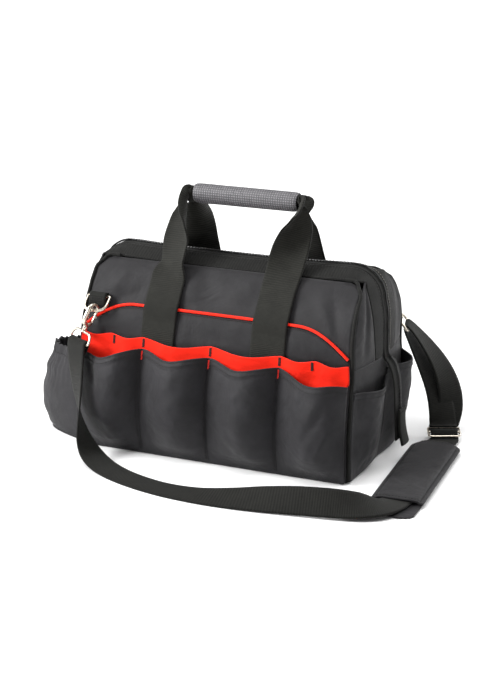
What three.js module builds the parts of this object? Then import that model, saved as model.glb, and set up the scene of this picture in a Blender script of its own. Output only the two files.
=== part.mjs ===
// Tool bag: a soft box with a wide zipped mouth, pockets on its front and ends,
// two webbing handles joined in a wrapped grip, and a clip-on shoulder strap with a pad.
// Sizes are in millimetres. X runs along the bag, Y to its back and Z up, from the middle of the base.

import * as THREE from 'three';

const { lerp, clamp, degToRad } = THREE.MathUtils;

// Overall sizes of the shell
const bagLength = 400;
const bagDepth = 205;
const zipHeight = 268;
const shellCloth = 2.4;
const pocketCloth = 1.5;
const webbingThickness = 2.2;
const seamGap = 0.3;

// Mouth of the shell: the band's foot, the zip's corner and the stiff band itself
const bandFoot = 256;
const bandEnd = 152;
const zipCorner = 42;
const zipTapeWidth = 21;
const zipCoilRadius = 1.6;
const topSag = 3;

// Front and end pockets
const pocketPitch = 100;
const pocketHem = 146;
const outerPocketHem = 131;
const pocketBulge = 27;
const hemSag = 9;
const liningTop = 161;
const liningSag = 12;
const liningBulge = 6;
const slipTop = 198;
const slipCornerDrop = 38;
const slipCornerStart = 120;
const slipPipingRadius = 2;
const cornerPipingRadius = 2.6;
const endHem = 122;
const endPocketBulge = 22;
const podHem = 128;
const podBulge = 74;
const podInnerEdge = 12;

// Zip tails that hang over the end pockets
const tailWidth = 28;
const tailEnd = 34;
const tabHeight = 44;
const tabThickness = 2.4;

// Handles and grip
const handleWidth = 50;
const handleCentre = 81;
const handleFoot = 112;
const backHandleFoot = 10;
const gripHeight = 346;
const gripCentre = 9;
const gripLength = 152;
const gripBore = 10.6;
const gripWall = 2.4;
const foldedWidth = 18;
const foldedThickness = 4.2;

// Rings, snap hooks and strap
const ringWidth = 38;
const ringHeight = 28;
const ringStock = 4;
const ringPlace = 177;
const ringBarHeight = 205;
const ringTilt = 23;
const tabWebbingWidth = 25;
const hookBore = 6;
const hookStock = 3.6;
const hookThickness = 5;
const hookSpine = 18.5;
const hookBase = 6;
const hookBarrel = 5;
const barrelRadius = 3.5;
const gateLength = 15;
const gateFoot = 16.5;
const thumbReach = 3;
const strapWidth = 38;
const eyeStock = 3.6;
const eyeHeight = 19;
const eyeNeck = 4;
const eyeShoulder = 9;

// Slider and shoulder pad
const sliderLength = 26;
const sliderThickness = 3;
const padLength = 262;
const padWidth = 68;
const padBaseThickness = 4;
const padCoverThickness = 3;
const padCoverLength = 219;
const padCentre = { x: 277, y: -61 };
const padTurn = 3.8;

// Form of the shell by height: the height as a share of the zip's height, the half depth as a
// share of half the bag's depth, and the reach of corner seam and end as shares of half its length
const shellForm = [
  { height: 0, depth: 1, seam: 1, end: 1 },
  { height: 0.15, depth: 1.05, seam: 1.005, end: 1.03 },
  { height: 0.27, depth: 1.045, seam: 1.005, end: 1.045 },
  { height: 0.42, depth: 0.985, seam: 1.003, end: 1.055 },
  { height: 0.53, depth: 0.905, seam: 1, end: 1.06 },
  { height: 0.66, depth: 0.83, seam: 0.995, end: 1.06 },
  { height: 0.79, depth: 0.69, seam: 0.988, end: 1.053 },
  { height: 0.89, depth: 0.525, seam: 0.98, end: 1.02 },
  { height: 0.955, depth: 0.352, seam: 0.97, end: 0.97 },
];
const wallCrown = 4;
const slumpFoot = 130;
const slumpShare = 0.2;

const clothBlack = new THREE.MeshStandardMaterial({ color: 0x3c3b3d, roughness: 0.85, metalness: 0 });
const webbingBlack = new THREE.MeshStandardMaterial({ color: 0x34342f, roughness: 0.9, metalness: 0 });
const liningRed = new THREE.MeshStandardMaterial({ color: 0xf0250c, roughness: 0.8, metalness: 0 });
const gripGrey = new THREE.MeshStandardMaterial({ color: 0x5f5d60, roughness: 0.6, metalness: 0 });
const nickel = new THREE.MeshStandardMaterial({ color: 0xcfc7b8, roughness: 0.3, metalness: 1 });

const bag = new THREE.Group();

function addMesh(name, geometry, material, parent = bag) {
  const mesh = new THREE.Mesh(geometry, material);
  mesh.name = name;
  parent.add(mesh);
  return mesh;
}

// Closed body from vertices and faces; faces are turned round where they would point inwards
function closedBody(points, faces) {
  const corners = points.flatMap((point) => point.toArray());
  const volume = faces.reduce((sum, [a, b, c]) => {
    return sum + points[a].dot(new THREE.Vector3().crossVectors(points[b], points[c]));
  }, 0);
  const outward = volume > 0 ? faces : faces.map(([a, b, c]) => [a, c, b]);
  const geometry = new THREE.BufferGeometry();
  geometry.setAttribute('position', new THREE.Float32BufferAttribute(corners, 3));
  geometry.setIndex(outward.flat());
  geometry.computeVertexNormals();
  return geometry;
}

// Rings of equal size, skinned one to the next and capped at both ends
function skinnedBody(rings) {
  const size = rings[0].length;
  const faces = [];
  for (let ring = 0; ring < rings.length - 1; ring += 1) {
    for (let side = 0; side < size; side += 1) {
      const a = ring * size + side;
      const b = ring * size + ((side + 1) % size);
      faces.push([a, b, b + size], [a, b + size, a + size]);
    }
  }
  const last = (rings.length - 1) * size;
  for (let side = 1; side < size - 1; side += 1) {
    faces.push([0, side + 1, side], [last, last + side, last + side + 1]);
  }
  return closedBody(rings.flat(), faces);
}

// Sheet of cloth: outer(s, t) gives its outer face, with s to the right and t up as seen from
// outside, and the wall grows inwards from there
function sheet(columns, rows, outer, thickness) {
  const step = 0.002;
  const front = [];
  const back = [];
  for (let row = 0; row <= rows; row += 1) {
    for (let column = 0; column <= columns; column += 1) {
      const s = column / columns;
      const t = row / rows;
      const right = outer(Math.min(s + step, 1), t).sub(outer(Math.max(s - step, 0), t));
      const up = outer(s, Math.min(t + step, 1)).sub(outer(s, Math.max(t - step, 0)));
      const inwards = up.cross(right).setLength(thickness);
      front.push(outer(s, t));
      back.push(outer(s, t).add(inwards));
    }
  }
  const wide = columns + 1;
  const inner = wide * (rows + 1);
  const faces = [];
  for (let row = 0; row < rows; row += 1) {
    for (let column = 0; column < columns; column += 1) {
      const a = row * wide + column;
      faces.push([a, a + 1, a + wide + 1], [a, a + wide + 1, a + wide]);
      faces.push([inner + a, inner + a + wide + 1, inner + a + 1]);
      faces.push([inner + a, inner + a + wide, inner + a + wide + 1]);
    }
  }
  const rim = [];
  for (let column = 0; column < columns; column += 1) {
    rim.push(column);
  }
  for (let row = 0; row < rows; row += 1) {
    rim.push(row * wide + columns);
  }
  for (let column = columns; column > 0; column -= 1) {
    rim.push(rows * wide + column);
  }
  for (let row = rows; row > 0; row -= 1) {
    rim.push(row * wide);
  }
  rim.forEach((a, index) => {
    const b = rim[(index + 1) % rim.length];
    faces.push([a, inner + a, inner + b], [a, inner + b, b]);
  });
  return closedBody([...front, ...back], faces);
}

// Webbing along rows that hold its middle, the direction across it, its width and its thickness
function ribbon(rows) {
  const rings = rows.map((row, index) => {
    const before = rows[Math.max(index - 1, 0)].at;
    const after = rows[Math.min(index + 1, rows.length - 1)].at;
    const along = after.clone().sub(before);
    const reach = row.across.clone().setLength(row.width / 2);
    const face = new THREE.Vector3().crossVectors(reach, along).setLength(row.thickness / 2);
    return [[-1, -1], [1, -1], [1, 1], [-1, 1]].map(([side, cover]) => {
      return row.at.clone().addScaledVector(reach, side).addScaledVector(face, cover);
    });
  });
  return skinnedBody(rings);
}

// Rows between the chosen ones, on a smooth curve through them
function smoothRows(rows, stepsBetween) {
  const centre = new THREE.CatmullRomCurve3(rows.map((row) => row.at), false, 'centripetal');
  const across = new THREE.CatmullRomCurve3(rows.map((row) => row.across));
  const count = (rows.length - 1) * stepsBetween;
  return Array.from({ length: count + 1 }, (_, index) => {
    const place = index / stepsBetween;
    const row = rows[Math.min(Math.floor(place), rows.length - 1)];
    const next = rows[Math.min(Math.floor(place) + 1, rows.length - 1)];
    const share = place - Math.floor(place);
    return {
      at: centre.getPoint(index / count),
      across: across.getPoint(index / count).normalize(),
      width: lerp(row.width, next.width, share),
      thickness: lerp(row.thickness, next.thickness, share),
    };
  });
}

// Round cord along a curve, with flat ends
function cordBody(points, radius, sides, steps) {
  const section = new THREE.Shape();
  for (let side = 0; side < sides; side += 1) {
    const angle = (2 * Math.PI * side) / sides;
    const corner = [radius * Math.cos(angle), radius * Math.sin(angle)];
    if (side === 0) section.moveTo(...corner);
    else section.lineTo(...corner);
  }
  const extrudePath = new THREE.CatmullRomCurve3(points);
  return new THREE.ExtrudeGeometry(section, { steps, bevelEnabled: false, extrudePath });
}

// Value of one column of the form table at a height, on a smooth curve through its rows
function formAt(z, column) {
  const share = clamp(z / zipHeight, 0, shellForm.at(-1).height);
  const upper = Math.max(shellForm.findIndex((row) => row.height >= share), 1);
  const a = shellForm[upper - 1];
  const b = shellForm[upper];
  const slope = (low, high) => (high[column] - low[column]) / (high.height - low.height);
  const slopeA = slope(shellForm[Math.max(upper - 2, 0)], b);
  const slopeB = slope(a, shellForm[Math.min(upper + 1, shellForm.length - 1)]);
  const span = b.height - a.height;
  const u = (share - a.height) / span;
  const ease = u * u * (3 - 2 * u);
  const bend = span * u * (1 - u) * ((1 - u) * slopeA - u * slopeB);
  return lerp(a[column], b[column], ease) + bend;
}

const halfDepth = (z) => (bagDepth / 2) * formAt(z, 'depth');
const seamReach = (z) => (bagLength / 2) * formAt(z, 'seam');
const endReach = (z) => (bagLength / 2) * formAt(z, 'end');

// Slump of the upper shell, as a factor on its depth: it grows fuller towards the right end
function slump(x, z) {
  const rise = clamp((z - slumpFoot) / (bandFoot - slumpFoot), 0, 1);
  const toRight = clamp(x / (bagLength / 2), 0, 1);
  return 1 + slumpShare * toRight * toRight * 6.75 * rise * rise * (1 - rise);
}

// Point on a long wall, side -1 at the front and 1 at the back
function wallPoint(side, x, z) {
  const across = x / seamReach(z);
  const crown = wallCrown * Math.sin(Math.PI * clamp(z / bandFoot, 0, 1)) * (1 - across * across);
  return new THREE.Vector3(x, side * (halfDepth(z) + crown) * slump(x, z), z);
}

// Point on an end wall, side -1 at the left and 1 at the right
function endPoint(side, y, z) {
  const across = y / halfDepth(z);
  const x = lerp(endReach(z), seamReach(z), across * across);
  return new THREE.Vector3(side * x, y * slump(side * x, z), z);
}

// Point lifted off a wall along the wall's own outward direction
function lifted(point, side, along, z, lift) {
  const step = 0.5;
  const level = point(side, along + step, z).sub(point(side, along - step, z));
  const rise = point(side, along, z + step).sub(point(side, along, z - step));
  const outwards = level.cross(rise).normalize();
  const sign = point === wallPoint ? -side : side;
  return point(side, along, z).addScaledVector(outwards, sign * lift);
}

const onWall = (side, x, z, lift) => lifted(wallPoint, side, x, z, lift);
const onEnd = (side, y, z, lift) => lifted(endPoint, side, y, z, lift);

// Sheet on a long wall between two places along it, from bottom(x) to top(x), lifted by lift(x, z)
function wallSheet(side, reach, bottom, top, lift, thickness, columns, rows) {
  return sheet(columns, rows, (s, t) => {
    const share = lerp(-1, 1, s) * -side;
    const x = share * reach(bottom);
    const z = lerp(bottom, top(x), t);
    return onWall(side, share * reach(z), z, lift(share * reach(z), z));
  }, thickness);
}

const floorGap = shellCloth + seamGap;
const seamInset = cornerPipingRadius + seamGap;
const wingInset = 1.4 * seamInset;
const wingTop = bandFoot - 14;
const pipingTop = bandFoot - 6;
const panelReach = (z) => seamReach(z) - seamInset;
const panelTop = bandFoot - 2;

// Shell: base, two long panels, and end panels that split above the zip's foot
const baseOutline = new THREE.Shape();
baseOutline.moveTo(-bagLength / 2, -bagDepth / 2);
baseOutline.lineTo(bagLength / 2, -bagDepth / 2);
baseOutline.lineTo(bagLength / 2, bagDepth / 2);
baseOutline.lineTo(-bagLength / 2, bagDepth / 2);
const basePlate = new THREE.ExtrudeGeometry(baseOutline, { depth: shellCloth, bevelEnabled: false });
addMesh('base_panel', basePlate, clothBlack);

const noLift = () => 0;
const longWalls = [
  { name: 'front_panel', side: -1, columns: 8, rows: 14 },
  { name: 'back_panel', side: 1, columns: 6, rows: 10 },
];
longWalls.forEach(({ name, side, columns, rows }) => {
  const wall = wallSheet(side, panelReach, floorGap, () => panelTop, noLift, shellCloth, columns, rows);
  addMesh(name, wall, clothBlack);
});

const bandEdge = halfDepth(bandFoot);
const endTop = bandEnd - seamGap;
[['left', -1], ['right', 1]].forEach(([endName, side]) => {
  const endPanel = sheet(8, 7, (s, t) => {
    const z = lerp(floorGap, endTop, t);
    const y = lerp(-1, 1, s) * side * (halfDepth(z) - seamInset);
    return endPoint(side, y, z);
  }, shellCloth);
  addMesh(`end_panel_${endName}`, endPanel, clothBlack);
  [['front', -1], ['back', 1]].forEach(([halfName, half]) => {
    const wing = sheet(2, 7, (s, t) => {
      const z = lerp(bandEnd, wingTop, t);
      const seam = halfDepth(z) - wingInset;
      const y = side === half ? lerp(bandEdge + seamGap, seam, s) : lerp(seam, bandEdge + seamGap, s);
      return endPoint(side, half * y, z);
    }, shellCloth);
    addMesh(`end_wing_${halfName}_${endName}`, wing, clothBlack);
  });
});

// Corner piping from the base to the mouth band
[['front', -1], ['back', 1]].forEach(([halfName, half]) => {
  [['left', -1], ['right', 1]].forEach(([endName, side]) => {
    const route = Array.from({ length: 13 }, (_, index) => {
      const z = lerp(floorGap + seamGap, pipingTop, index / 12);
      const x = side * seamReach(z);
      return new THREE.Vector3(x, half * halfDepth(z) * slump(x, z), z);
    });
    addMesh(`corner_piping_${halfName}_${endName}`, cordBody(route, cornerPipingRadius, 5, 11), clothBlack);
  });
});

// Stations of the mouth, from the left foot over the top to the right foot: each has its place on
// the zip's line and on the band's outer edge
const zipFoot = endReach(bandEnd);
const cornerX = endReach(zipHeight - zipCorner) - zipCorner;
function mouthHalf() {
  const stations = [];
  for (let index = 0; index < 6; index += 1) {
    const z = lerp(bandEnd, zipHeight - zipCorner, index / 6);
    stations.push({ zip: [endReach(z), z], edge: [endPoint(1, bandEdge, z).x, z] });
  }
  for (let index = 0; index <= 6; index += 1) {
    const angle = (Math.PI / 2) * (index / 6);
    const zip = [
      cornerX + zipCorner * Math.cos(angle),
      zipHeight - zipCorner + zipCorner * Math.sin(angle),
    ];
    const rise = lerp(zipHeight - zipCorner, bandFoot, Math.min(index / 3, 1));
    const edgeX = index <= 3
      ? endPoint(1, bandEdge, rise).x
      : lerp(seamReach(bandFoot), cornerX, index / 3 - 1);
    stations.push({ zip, edge: [edgeX, rise] });
  }
  for (let index = 1; index <= 4; index += 1) {
    const x = lerp(cornerX, 0, index / 4);
    const sag = topSag * Math.sin((Math.PI / 2) * (index / 4));
    stations.push({ zip: [x, zipHeight - sag], edge: [x, bandFoot - sag] });
  }
  return stations;
}
const rightHalf = mouthHalf();
const leftHalf = rightHalf.map(({ zip, edge }) => ({ zip: [-zip[0], zip[1]], edge: [-edge[0], edge[1]] }));
const mouth = [...leftHalf.slice(0, -1), ...rightHalf.reverse()];

function mouthAt(share, line) {
  const place = share * (mouth.length - 1);
  const low = Math.min(Math.floor(place), mouth.length - 2);
  const [x1, z1] = mouth[low][line];
  const [x2, z2] = mouth[low + 1][line];
  return { x: lerp(x1, x2, place - low), z: lerp(z1, z2, place - low) };
}

// Stiff bands on both sides of the zip
const zipEdge = zipTapeWidth / 2 + 2 * seamGap;
[['front', -1], ['back', 1]].forEach(([name, side]) => {
  const band = sheet(mouth.length - 1, 2, (s, t) => {
    const share = side < 0 ? s : 1 - s;
    const edge = mouthAt(share, 'edge');
    const zip = mouthAt(share, 'zip');
    const y = side * lerp(bandEdge * slump(edge.x, edge.z), zipEdge, t);
    return new THREE.Vector3(lerp(edge.x, zip.x, t), y, lerp(edge.z, zip.z, t));
  }, shellCloth);
  addMesh(`mouth_band_${name}`, band, webbingBlack);
});

// Zip: a tape that fills the slot between the bands, its coil, and a tail that hangs at each end
const tailOut = 22;
const tailRoute = [
  { out: 2.4, z: bandEnd - 3 },
  { out: 10, z: bandEnd - 12 },
  { out: 17, z: bandEnd - 33 },
  { out: 20, z: bandEnd - 77 },
  { out: tailOut, z: tailEnd },
];
const tapeRows = mouth.map(({ zip: [x, z] }) => ({ at: new THREE.Vector3(x, 0, z), width: zipTapeWidth }));
const tailRows = (side) => tailRoute.map(({ out, z }) => ({
  at: new THREE.Vector3(side * (zipFoot + out), 0, z),
  width: z > bandEnd - 5 ? zipTapeWidth : tailWidth,
}));
const zipRows = [...tailRows(-1).reverse(), ...tapeRows.slice(1, -1), ...tailRows(1)];
const across = new THREE.Vector3(0, 1, 0);
const tape = ribbon(zipRows.map((row) => ({ ...row, across, thickness: pocketCloth })));
addMesh('zip_tape', tape, webbingBlack);

const coilLift = pocketCloth / 2 + zipCoilRadius + 2 * seamGap;
const coilRoute = zipRows.slice(1, -1).map((row, index) => {
  const along = zipRows[index + 2].at.clone().sub(zipRows[index].at).normalize();
  const outwards = new THREE.Vector3(-along.z, 0, along.x);
  return row.at.clone().addScaledVector(outwards, coilLift);
});
addMesh('zip_coil', cordBody(coilRoute, zipCoilRadius, 4, 60), webbingBlack);

[['left', -1], ['right', 1]].forEach(([name, side]) => {
  const lift = coilLift + zipCoilRadius + seamGap + tabThickness / 2;
  const outer = (z) => side * (zipFoot + lift + lerp(tailOut, tailOut - 2, (z - tailEnd) / tabHeight));
  const tab = ribbon([0, 0.5, 1].map((share) => {
    const z = lerp(tailEnd - 2, tailEnd + tabHeight, share);
    return { at: new THREE.Vector3(outer(z), 0, z), across, width: tailWidth - 2, thickness: tabThickness };
  }));
  addMesh(`zip_tab_${name}`, tab, webbingBlack);
});

// Layers of the front wall, from the panel outwards: the lift of each outer face
const slipLift = 3 * seamGap + pocketCloth;
const handleLift = slipLift + seamGap + webbingThickness;
const liningLift = handleLift + seamGap + pocketCloth;
const pocketLift = liningLift + 2 * seamGap + pocketCloth;

function slipEdge(x) {
  const run = (Math.abs(x) - slipCornerStart) / (bagLength / 2 - slipCornerStart);
  return slipTop - slipCornerDrop * clamp(run, 0, 1) ** 2;
}
const slip = wallSheet(-1, panelReach, floorGap, slipEdge, () => slipLift, pocketCloth, 16, 11);
addMesh('slip_pocket', slip, clothBlack);

const slipRoute = Array.from({ length: 25 }, (_, index) => {
  const x = lerp(-1, 1, index / 24) * (panelReach(slipTop) - 1);
  return onWall(-1, x, slipEdge(x) + slipPipingRadius + seamGap, slipPipingRadius + seamGap);
});
addMesh('slip_piping', cordBody(slipRoute, slipPipingRadius, 5, 26), liningRed);

// Place of x inside its pocket, 0 and 1 at the seams; the outer pockets end at the corner seams
function pocketShare(x) {
  const end = panelReach(floorGap);
  if (Math.abs(x) > pocketPitch) return (Math.abs(x) - pocketPitch) / (end - pocketPitch);
  return Math.abs(x) / pocketPitch;
}
const bellied = (share) => Math.sin(Math.PI * clamp(share, 0, 1)) ** 2;
const inLastPocket = (x) => Math.abs(x) > pocketPitch;

function liningEdge(x) {
  const lobe = inLastPocket(x) ? bellied(2 * (pocketShare(x) % 0.5)) : bellied(pocketShare(x));
  return liningTop - liningSag * lobe;
}
function liningOut(x, z) {
  const lobe = inLastPocket(x) ? 0.6 * bellied(2 * (pocketShare(x) % 0.5)) : bellied(pocketShare(x));
  return liningLift + liningBulge * lobe * clamp(z / liningTop, 0, 1);
}
const lining = wallSheet(-1, panelReach, floorGap, liningEdge, liningOut, pocketCloth, 32, 7);
addMesh('pocket_lining', lining, liningRed);

function pocketEdge(x) {
  const share = pocketShare(x);
  const seams = inLastPocket(x) ? lerp(pocketHem, outerPocketHem, share) : pocketHem;
  return seams - hemSag * bellied(share);
}
function pocketOut(x, z) {
  const fullness = Math.sin((Math.PI / 2) * clamp(z / pocketHem, 0, 1)) ** 0.8;
  return pocketLift + pocketBulge * bellied(pocketShare(x)) * fullness;
}
const pockets = wallSheet(-1, panelReach, floorGap, pocketEdge, pocketOut, pocketCloth, 36, 7);
addMesh('front_pockets', pockets, clothBlack);

// End pockets: each covers half an end wall, from the corner seam to the middle
const endPockets = [
  { name: 'end_pocket_front_right', side: 1, half: -1, hem: endHem, bulge: 0.7 * endPocketBulge, slack: 4 },
  { name: 'end_pocket_back_right', side: 1, half: 1, hem: endHem + 10, bulge: endPocketBulge, slack: 0 },
  { name: 'end_pocket_back_left', side: -1, half: 1, hem: endHem + 10, bulge: endPocketBulge, slack: 0 },
];
endPockets.forEach(({ name, side, half, hem, bulge, slack }) => {
  const pocket = sheet(8, 6, (s, t) => {
    const share = side === half ? s : 1 - s;
    const z = lerp(floorGap, hem - slack * bellied(share), t);
    const y = half * lerp(seamGap / 2, halfDepth(z) - seamInset, share);
    const fullness = Math.sin((Math.PI / 2) * clamp(z / hem, 0, 1)) ** 0.6;
    return onEnd(side, y, z, seamGap + pocketCloth + bulge * bellied(share) * fullness);
  }, pocketCloth);
  addMesh(name, pocket, clothBlack);
});

// Gathered pocket on the left end: a deep pod with a floor of its own
const podForm = [
  { height: 0, reach: 0.98 },
  { height: 0.2, reach: 1.02 },
  { height: 0.45, reach: 1 },
  { height: 0.7, reach: 0.9 },
  { height: 0.88, reach: 0.78 },
  { height: 1, reach: 0.7 },
];
function podReach(height) {
  const upper = Math.max(podForm.findIndex((row) => row.height >= height), 1);
  const a = podForm[upper - 1];
  const b = podForm[upper];
  return lerp(a.reach, b.reach, (height - a.height) / (b.height - a.height));
}
function podPoint(share, z) {
  const y = -lerp(podInnerEdge, halfDepth(z) - seamInset, share);
  const out = podBulge * podReach(clamp(z / podHem, 0, 1)) * Math.sin(Math.PI * share) ** 0.9;
  return endPoint(-1, y, z).add(new THREE.Vector3(-(seamGap + pocketCloth) - out, 0, 0));
}
const pod = sheet(14, 8, (s, t) => podPoint(s, lerp(floorGap, podHem, t)), pocketCloth);
addMesh('gathered_pocket', pod, clothBlack);

const podFloor = new THREE.Shape();
Array.from({ length: 15 }, (_, index) => podPoint(index / 14, floorGap)).forEach((point, index) => {
  if (index === 0) podFloor.moveTo(point.x, point.y);
  else podFloor.lineTo(point.x, point.y);
});
const podInside = -(bagLength / 2 + seamGap);
podFloor.lineTo(podInside, -(bagDepth / 2 - seamInset));
podFloor.lineTo(podInside, -podInnerEdge);
const podPlate = new THREE.ExtrudeGeometry(podFloor, { depth: shellCloth, bevelEnabled: false });
addMesh('gathered_pocket_base', podPlate, clothBlack);

// Handles: two webbing loops, sewn flat to the walls and folded double inside the grip
const legStep = 17;
const pipingBump = { height: 2.6, spread: 11 };
const legRise = [0, 0.14, 0.28, 0.42, 0.5, 0.54, 0.58, 0.62, 0.66, 0.74, 0.86];
const legCurl = [
  { rise: 0.04, lean: 0, close: 0, turn: 4, width: 1 },
  { rise: 0.3, lean: 0.3, close: 0.2, turn: 20, width: 1 },
  { rise: 0.58, lean: 0.58, close: 0.4, turn: 36, width: 0.97 },
  { rise: 0.8, lean: 0.85, close: 0.58, turn: 60, width: 0.78 },
  { rise: 0.92, lean: 1, close: 0.68, turn: 86, width: 0.56 },
];
function handleLoop(side, shift, halfTop, level, foot) {
  const gripY = 0;
  const lowRows = Math.ceil((handleFoot - foot) / legStep);
  const heights = [
    ...Array.from({ length: lowRows }, (_, index) => lerp(foot, handleFoot, index / lowRows)),
    ...legRise.map((share) => lerp(handleFoot, bandFoot, share)),
  ];
  const leg = (hand) => {
    const rows = heights.map((z) => {
      const overPiping = pipingBump.height * Math.exp(-(((z - slipTop) / pipingBump.spread) ** 2));
      const lift = handleLift - webbingThickness / 2 + overPiping;
      const edge = hand * handleCentre + handleWidth / 2;
      const flat = onWall(side, edge, z, lift).sub(onWall(side, edge - handleWidth, z, lift));
      return {
        at: onWall(side, hand * handleCentre, z, lift),
        across: flat.multiplyScalar(-hand),
        width: handleWidth,
        thickness: webbingThickness,
      };
    });
    const start = onWall(side, hand * handleCentre, bandFoot, handleLift);
    legCurl.forEach(({ rise, lean, close, turn, width }) => {
      const x = lerp(start.x, shift + hand * halfTop, lean);
      const y = lerp(start.y, gripY, close);
      const z = lerp(bandFoot, gripHeight + level, rise);
      const angle = degToRad(turn) * hand * -side;
      rows.push({
        at: new THREE.Vector3(x, y, z),
        across: new THREE.Vector3(Math.cos(angle), Math.sin(angle), 0).multiplyScalar(-hand),
        width: handleWidth * width,
        thickness: lerp(foldedThickness, webbingThickness, (width - 0.6) / 0.4),
      });
    });
    const turned = { x: shift + hand * (halfTop - 2), width: foldedWidth + 4 };
    const gripEnd = { x: gripCentre + hand * (gripLength / 2 + 1), width: foldedWidth };
    [turned, gripEnd].forEach(({ x, width }) => {
      rows.push({
        at: new THREE.Vector3(x, gripY, gripHeight + level),
        across: new THREE.Vector3(0, side, 0),
        width,
        thickness: foldedThickness,
      });
    });
    return rows;
  };
  const curled = heights.length;
  const whole = (rows) => [...rows.slice(0, curled), ...smoothRows(rows.slice(curled), 2)];
  return [...whole(leg(-1)), ...whole(leg(1)).reverse()];
}
const loopLevel = foldedThickness / 2 + seamGap / 2;
const loops = [
  { name: 'handle_front', side: -1, shift: 9, halfTop: 91, level: loopLevel, foot: handleFoot },
  { name: 'handle_back', side: 1, shift: 9, halfTop: 84, level: -loopLevel, foot: backHandleFoot },
];
loops.forEach(({ name, side, shift, halfTop, level, foot }) => {
  addMesh(name, ribbon(handleLoop(side, shift, halfTop, level, foot)), webbingBlack);
});

// Grip: a wrap rolled round both loops
const gripRing = (radius) => Array.from({ length: 12 }, (_, index) => {
  const angle = (2 * Math.PI * index) / 12;
  return new THREE.Vector2(radius * Math.cos(angle), radius * Math.sin(angle));
});
const gripSection = new THREE.Shape(gripRing(gripBore + gripWall));
gripSection.holes.push(new THREE.Path(gripRing(gripBore)));
const gripTube = new THREE.ExtrudeGeometry(gripSection, { depth: gripLength, bevelEnabled: false });
const grip = addMesh('handle_grip', gripTube, gripGrey);
grip.rotation.y = Math.PI / 2;
grip.position.set(gripCentre - gripLength / 2, 0, gripHeight);

// Ring, its webbing tab, snap hook with gate and swivel eye, at one corner of the bag
const hookOuter = hookBore + hookStock;
const hookLow = hookSpine + hookBase;
const eyeTop = hookLow + hookBarrel + seamGap;
const wireSeat = hookBore - 1.45 * ringStock - seamGap;

function ringOutline(inset) {
  const width = ringWidth / 2 - inset;
  const bow = ringWidth / 2 - ringHeight;
  const outline = inset === 0 ? new THREE.Shape() : new THREE.Path();
  outline.moveTo(-width, -inset);
  outline.lineTo(-width, bow);
  outline.absarc(0, bow, width, Math.PI, 2 * Math.PI, false);
  outline.lineTo(width, -inset);
  return outline;
}

function hookOutline() {
  const outline = new THREE.Shape();
  const noseTip = -1;
  const mouthFloor = -(gateFoot + hookStock / 2 + seamGap);
  outline.moveTo(hookOuter, noseTip);
  outline.lineTo(hookOuter, 0);
  outline.absarc(0, 0, hookOuter, 0, Math.PI, false);
  outline.lineTo(-hookOuter, -hookSpine);
  outline.lineTo(-barrelRadius, -hookLow);
  outline.lineTo(-barrelRadius, -hookLow - hookBarrel);
  outline.lineTo(barrelRadius, -hookLow - hookBarrel);
  outline.lineTo(barrelRadius, -hookLow);
  outline.lineTo(hookOuter, -hookSpine - 1);
  outline.lineTo(hookOuter, mouthFloor);
  outline.lineTo(-hookBore, mouthFloor);
  outline.lineTo(-hookBore, 0);
  outline.absarc(0, 0, hookBore, Math.PI, 0, true);
  outline.lineTo(hookBore, noseTip);
  return outline;
}

function gateOutline() {
  const outline = new THREE.Shape();
  const half = hookStock / 2 - 0.1;
  outline.absarc(0, 0, half, Math.PI, 2 * Math.PI, false);
  outline.lineTo(half, gateLength * 0.35);
  outline.lineTo(half + thumbReach, gateLength * 0.5);
  outline.lineTo(half + thumbReach, gateLength * 0.66);
  outline.lineTo(half, gateLength * 0.72);
  outline.lineTo(half, gateLength);
  outline.lineTo(-half, gateLength);
  return outline;
}

function eyeShape() {
  const inside = strapWidth / 2 + 2 * seamGap;
  const wide = inside + eyeStock;
  const outline = new THREE.Shape();
  outline.moveTo(-eyeNeck, 0);
  outline.lineTo(-wide, -eyeShoulder);
  outline.lineTo(-wide, -eyeHeight);
  outline.lineTo(wide, -eyeHeight);
  outline.lineTo(wide, -eyeShoulder);
  outline.lineTo(eyeNeck, 0);
  const hole = new THREE.Path();
  hole.moveTo(1 - eyeNeck, -1.2 * eyeStock);
  hole.lineTo(-inside, -eyeShoulder - 2);
  hole.lineTo(-inside, -eyeHeight + eyeStock);
  hole.lineTo(inside, -eyeHeight + eyeStock);
  hole.lineTo(inside, -eyeShoulder - 2);
  hole.lineTo(eyeNeck - 1, -1.2 * eyeStock);
  outline.holes.push(hole);
  return outline;
}

// Flat plate from an outline, centred on its own plane
function plate(outline, thickness) {
  const geometry = new THREE.ExtrudeGeometry(outline, {
    depth: thickness, bevelEnabled: false, curveSegments: 8,
  });
  geometry.translate(0, 0, -thickness / 2);
  return geometry;
}

// Group at a point, with its own Y along up and its Z as near to face as that allows
function frameAt(origin, up, face) {
  const y = up.clone().normalize();
  const z = face.clone().addScaledVector(y, -face.dot(y)).normalize();
  const x = new THREE.Vector3().crossVectors(y, z);
  const group = new THREE.Group();
  group.quaternion.setFromRotationMatrix(new THREE.Matrix4().makeBasis(x, y, z));
  group.position.copy(origin);
  bag.add(group);
  return { group, x, y, z, origin };
}

// Radius of webbing bent round a square bar
const wrapRound = (stock) => 1.1 * (Math.hypot(stock, stock) / 2 + seamGap + webbingThickness / 2);
const ringWrap = wrapRound(ringStock);
const eyeWrap = wrapRound(eyeStock);

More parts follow.
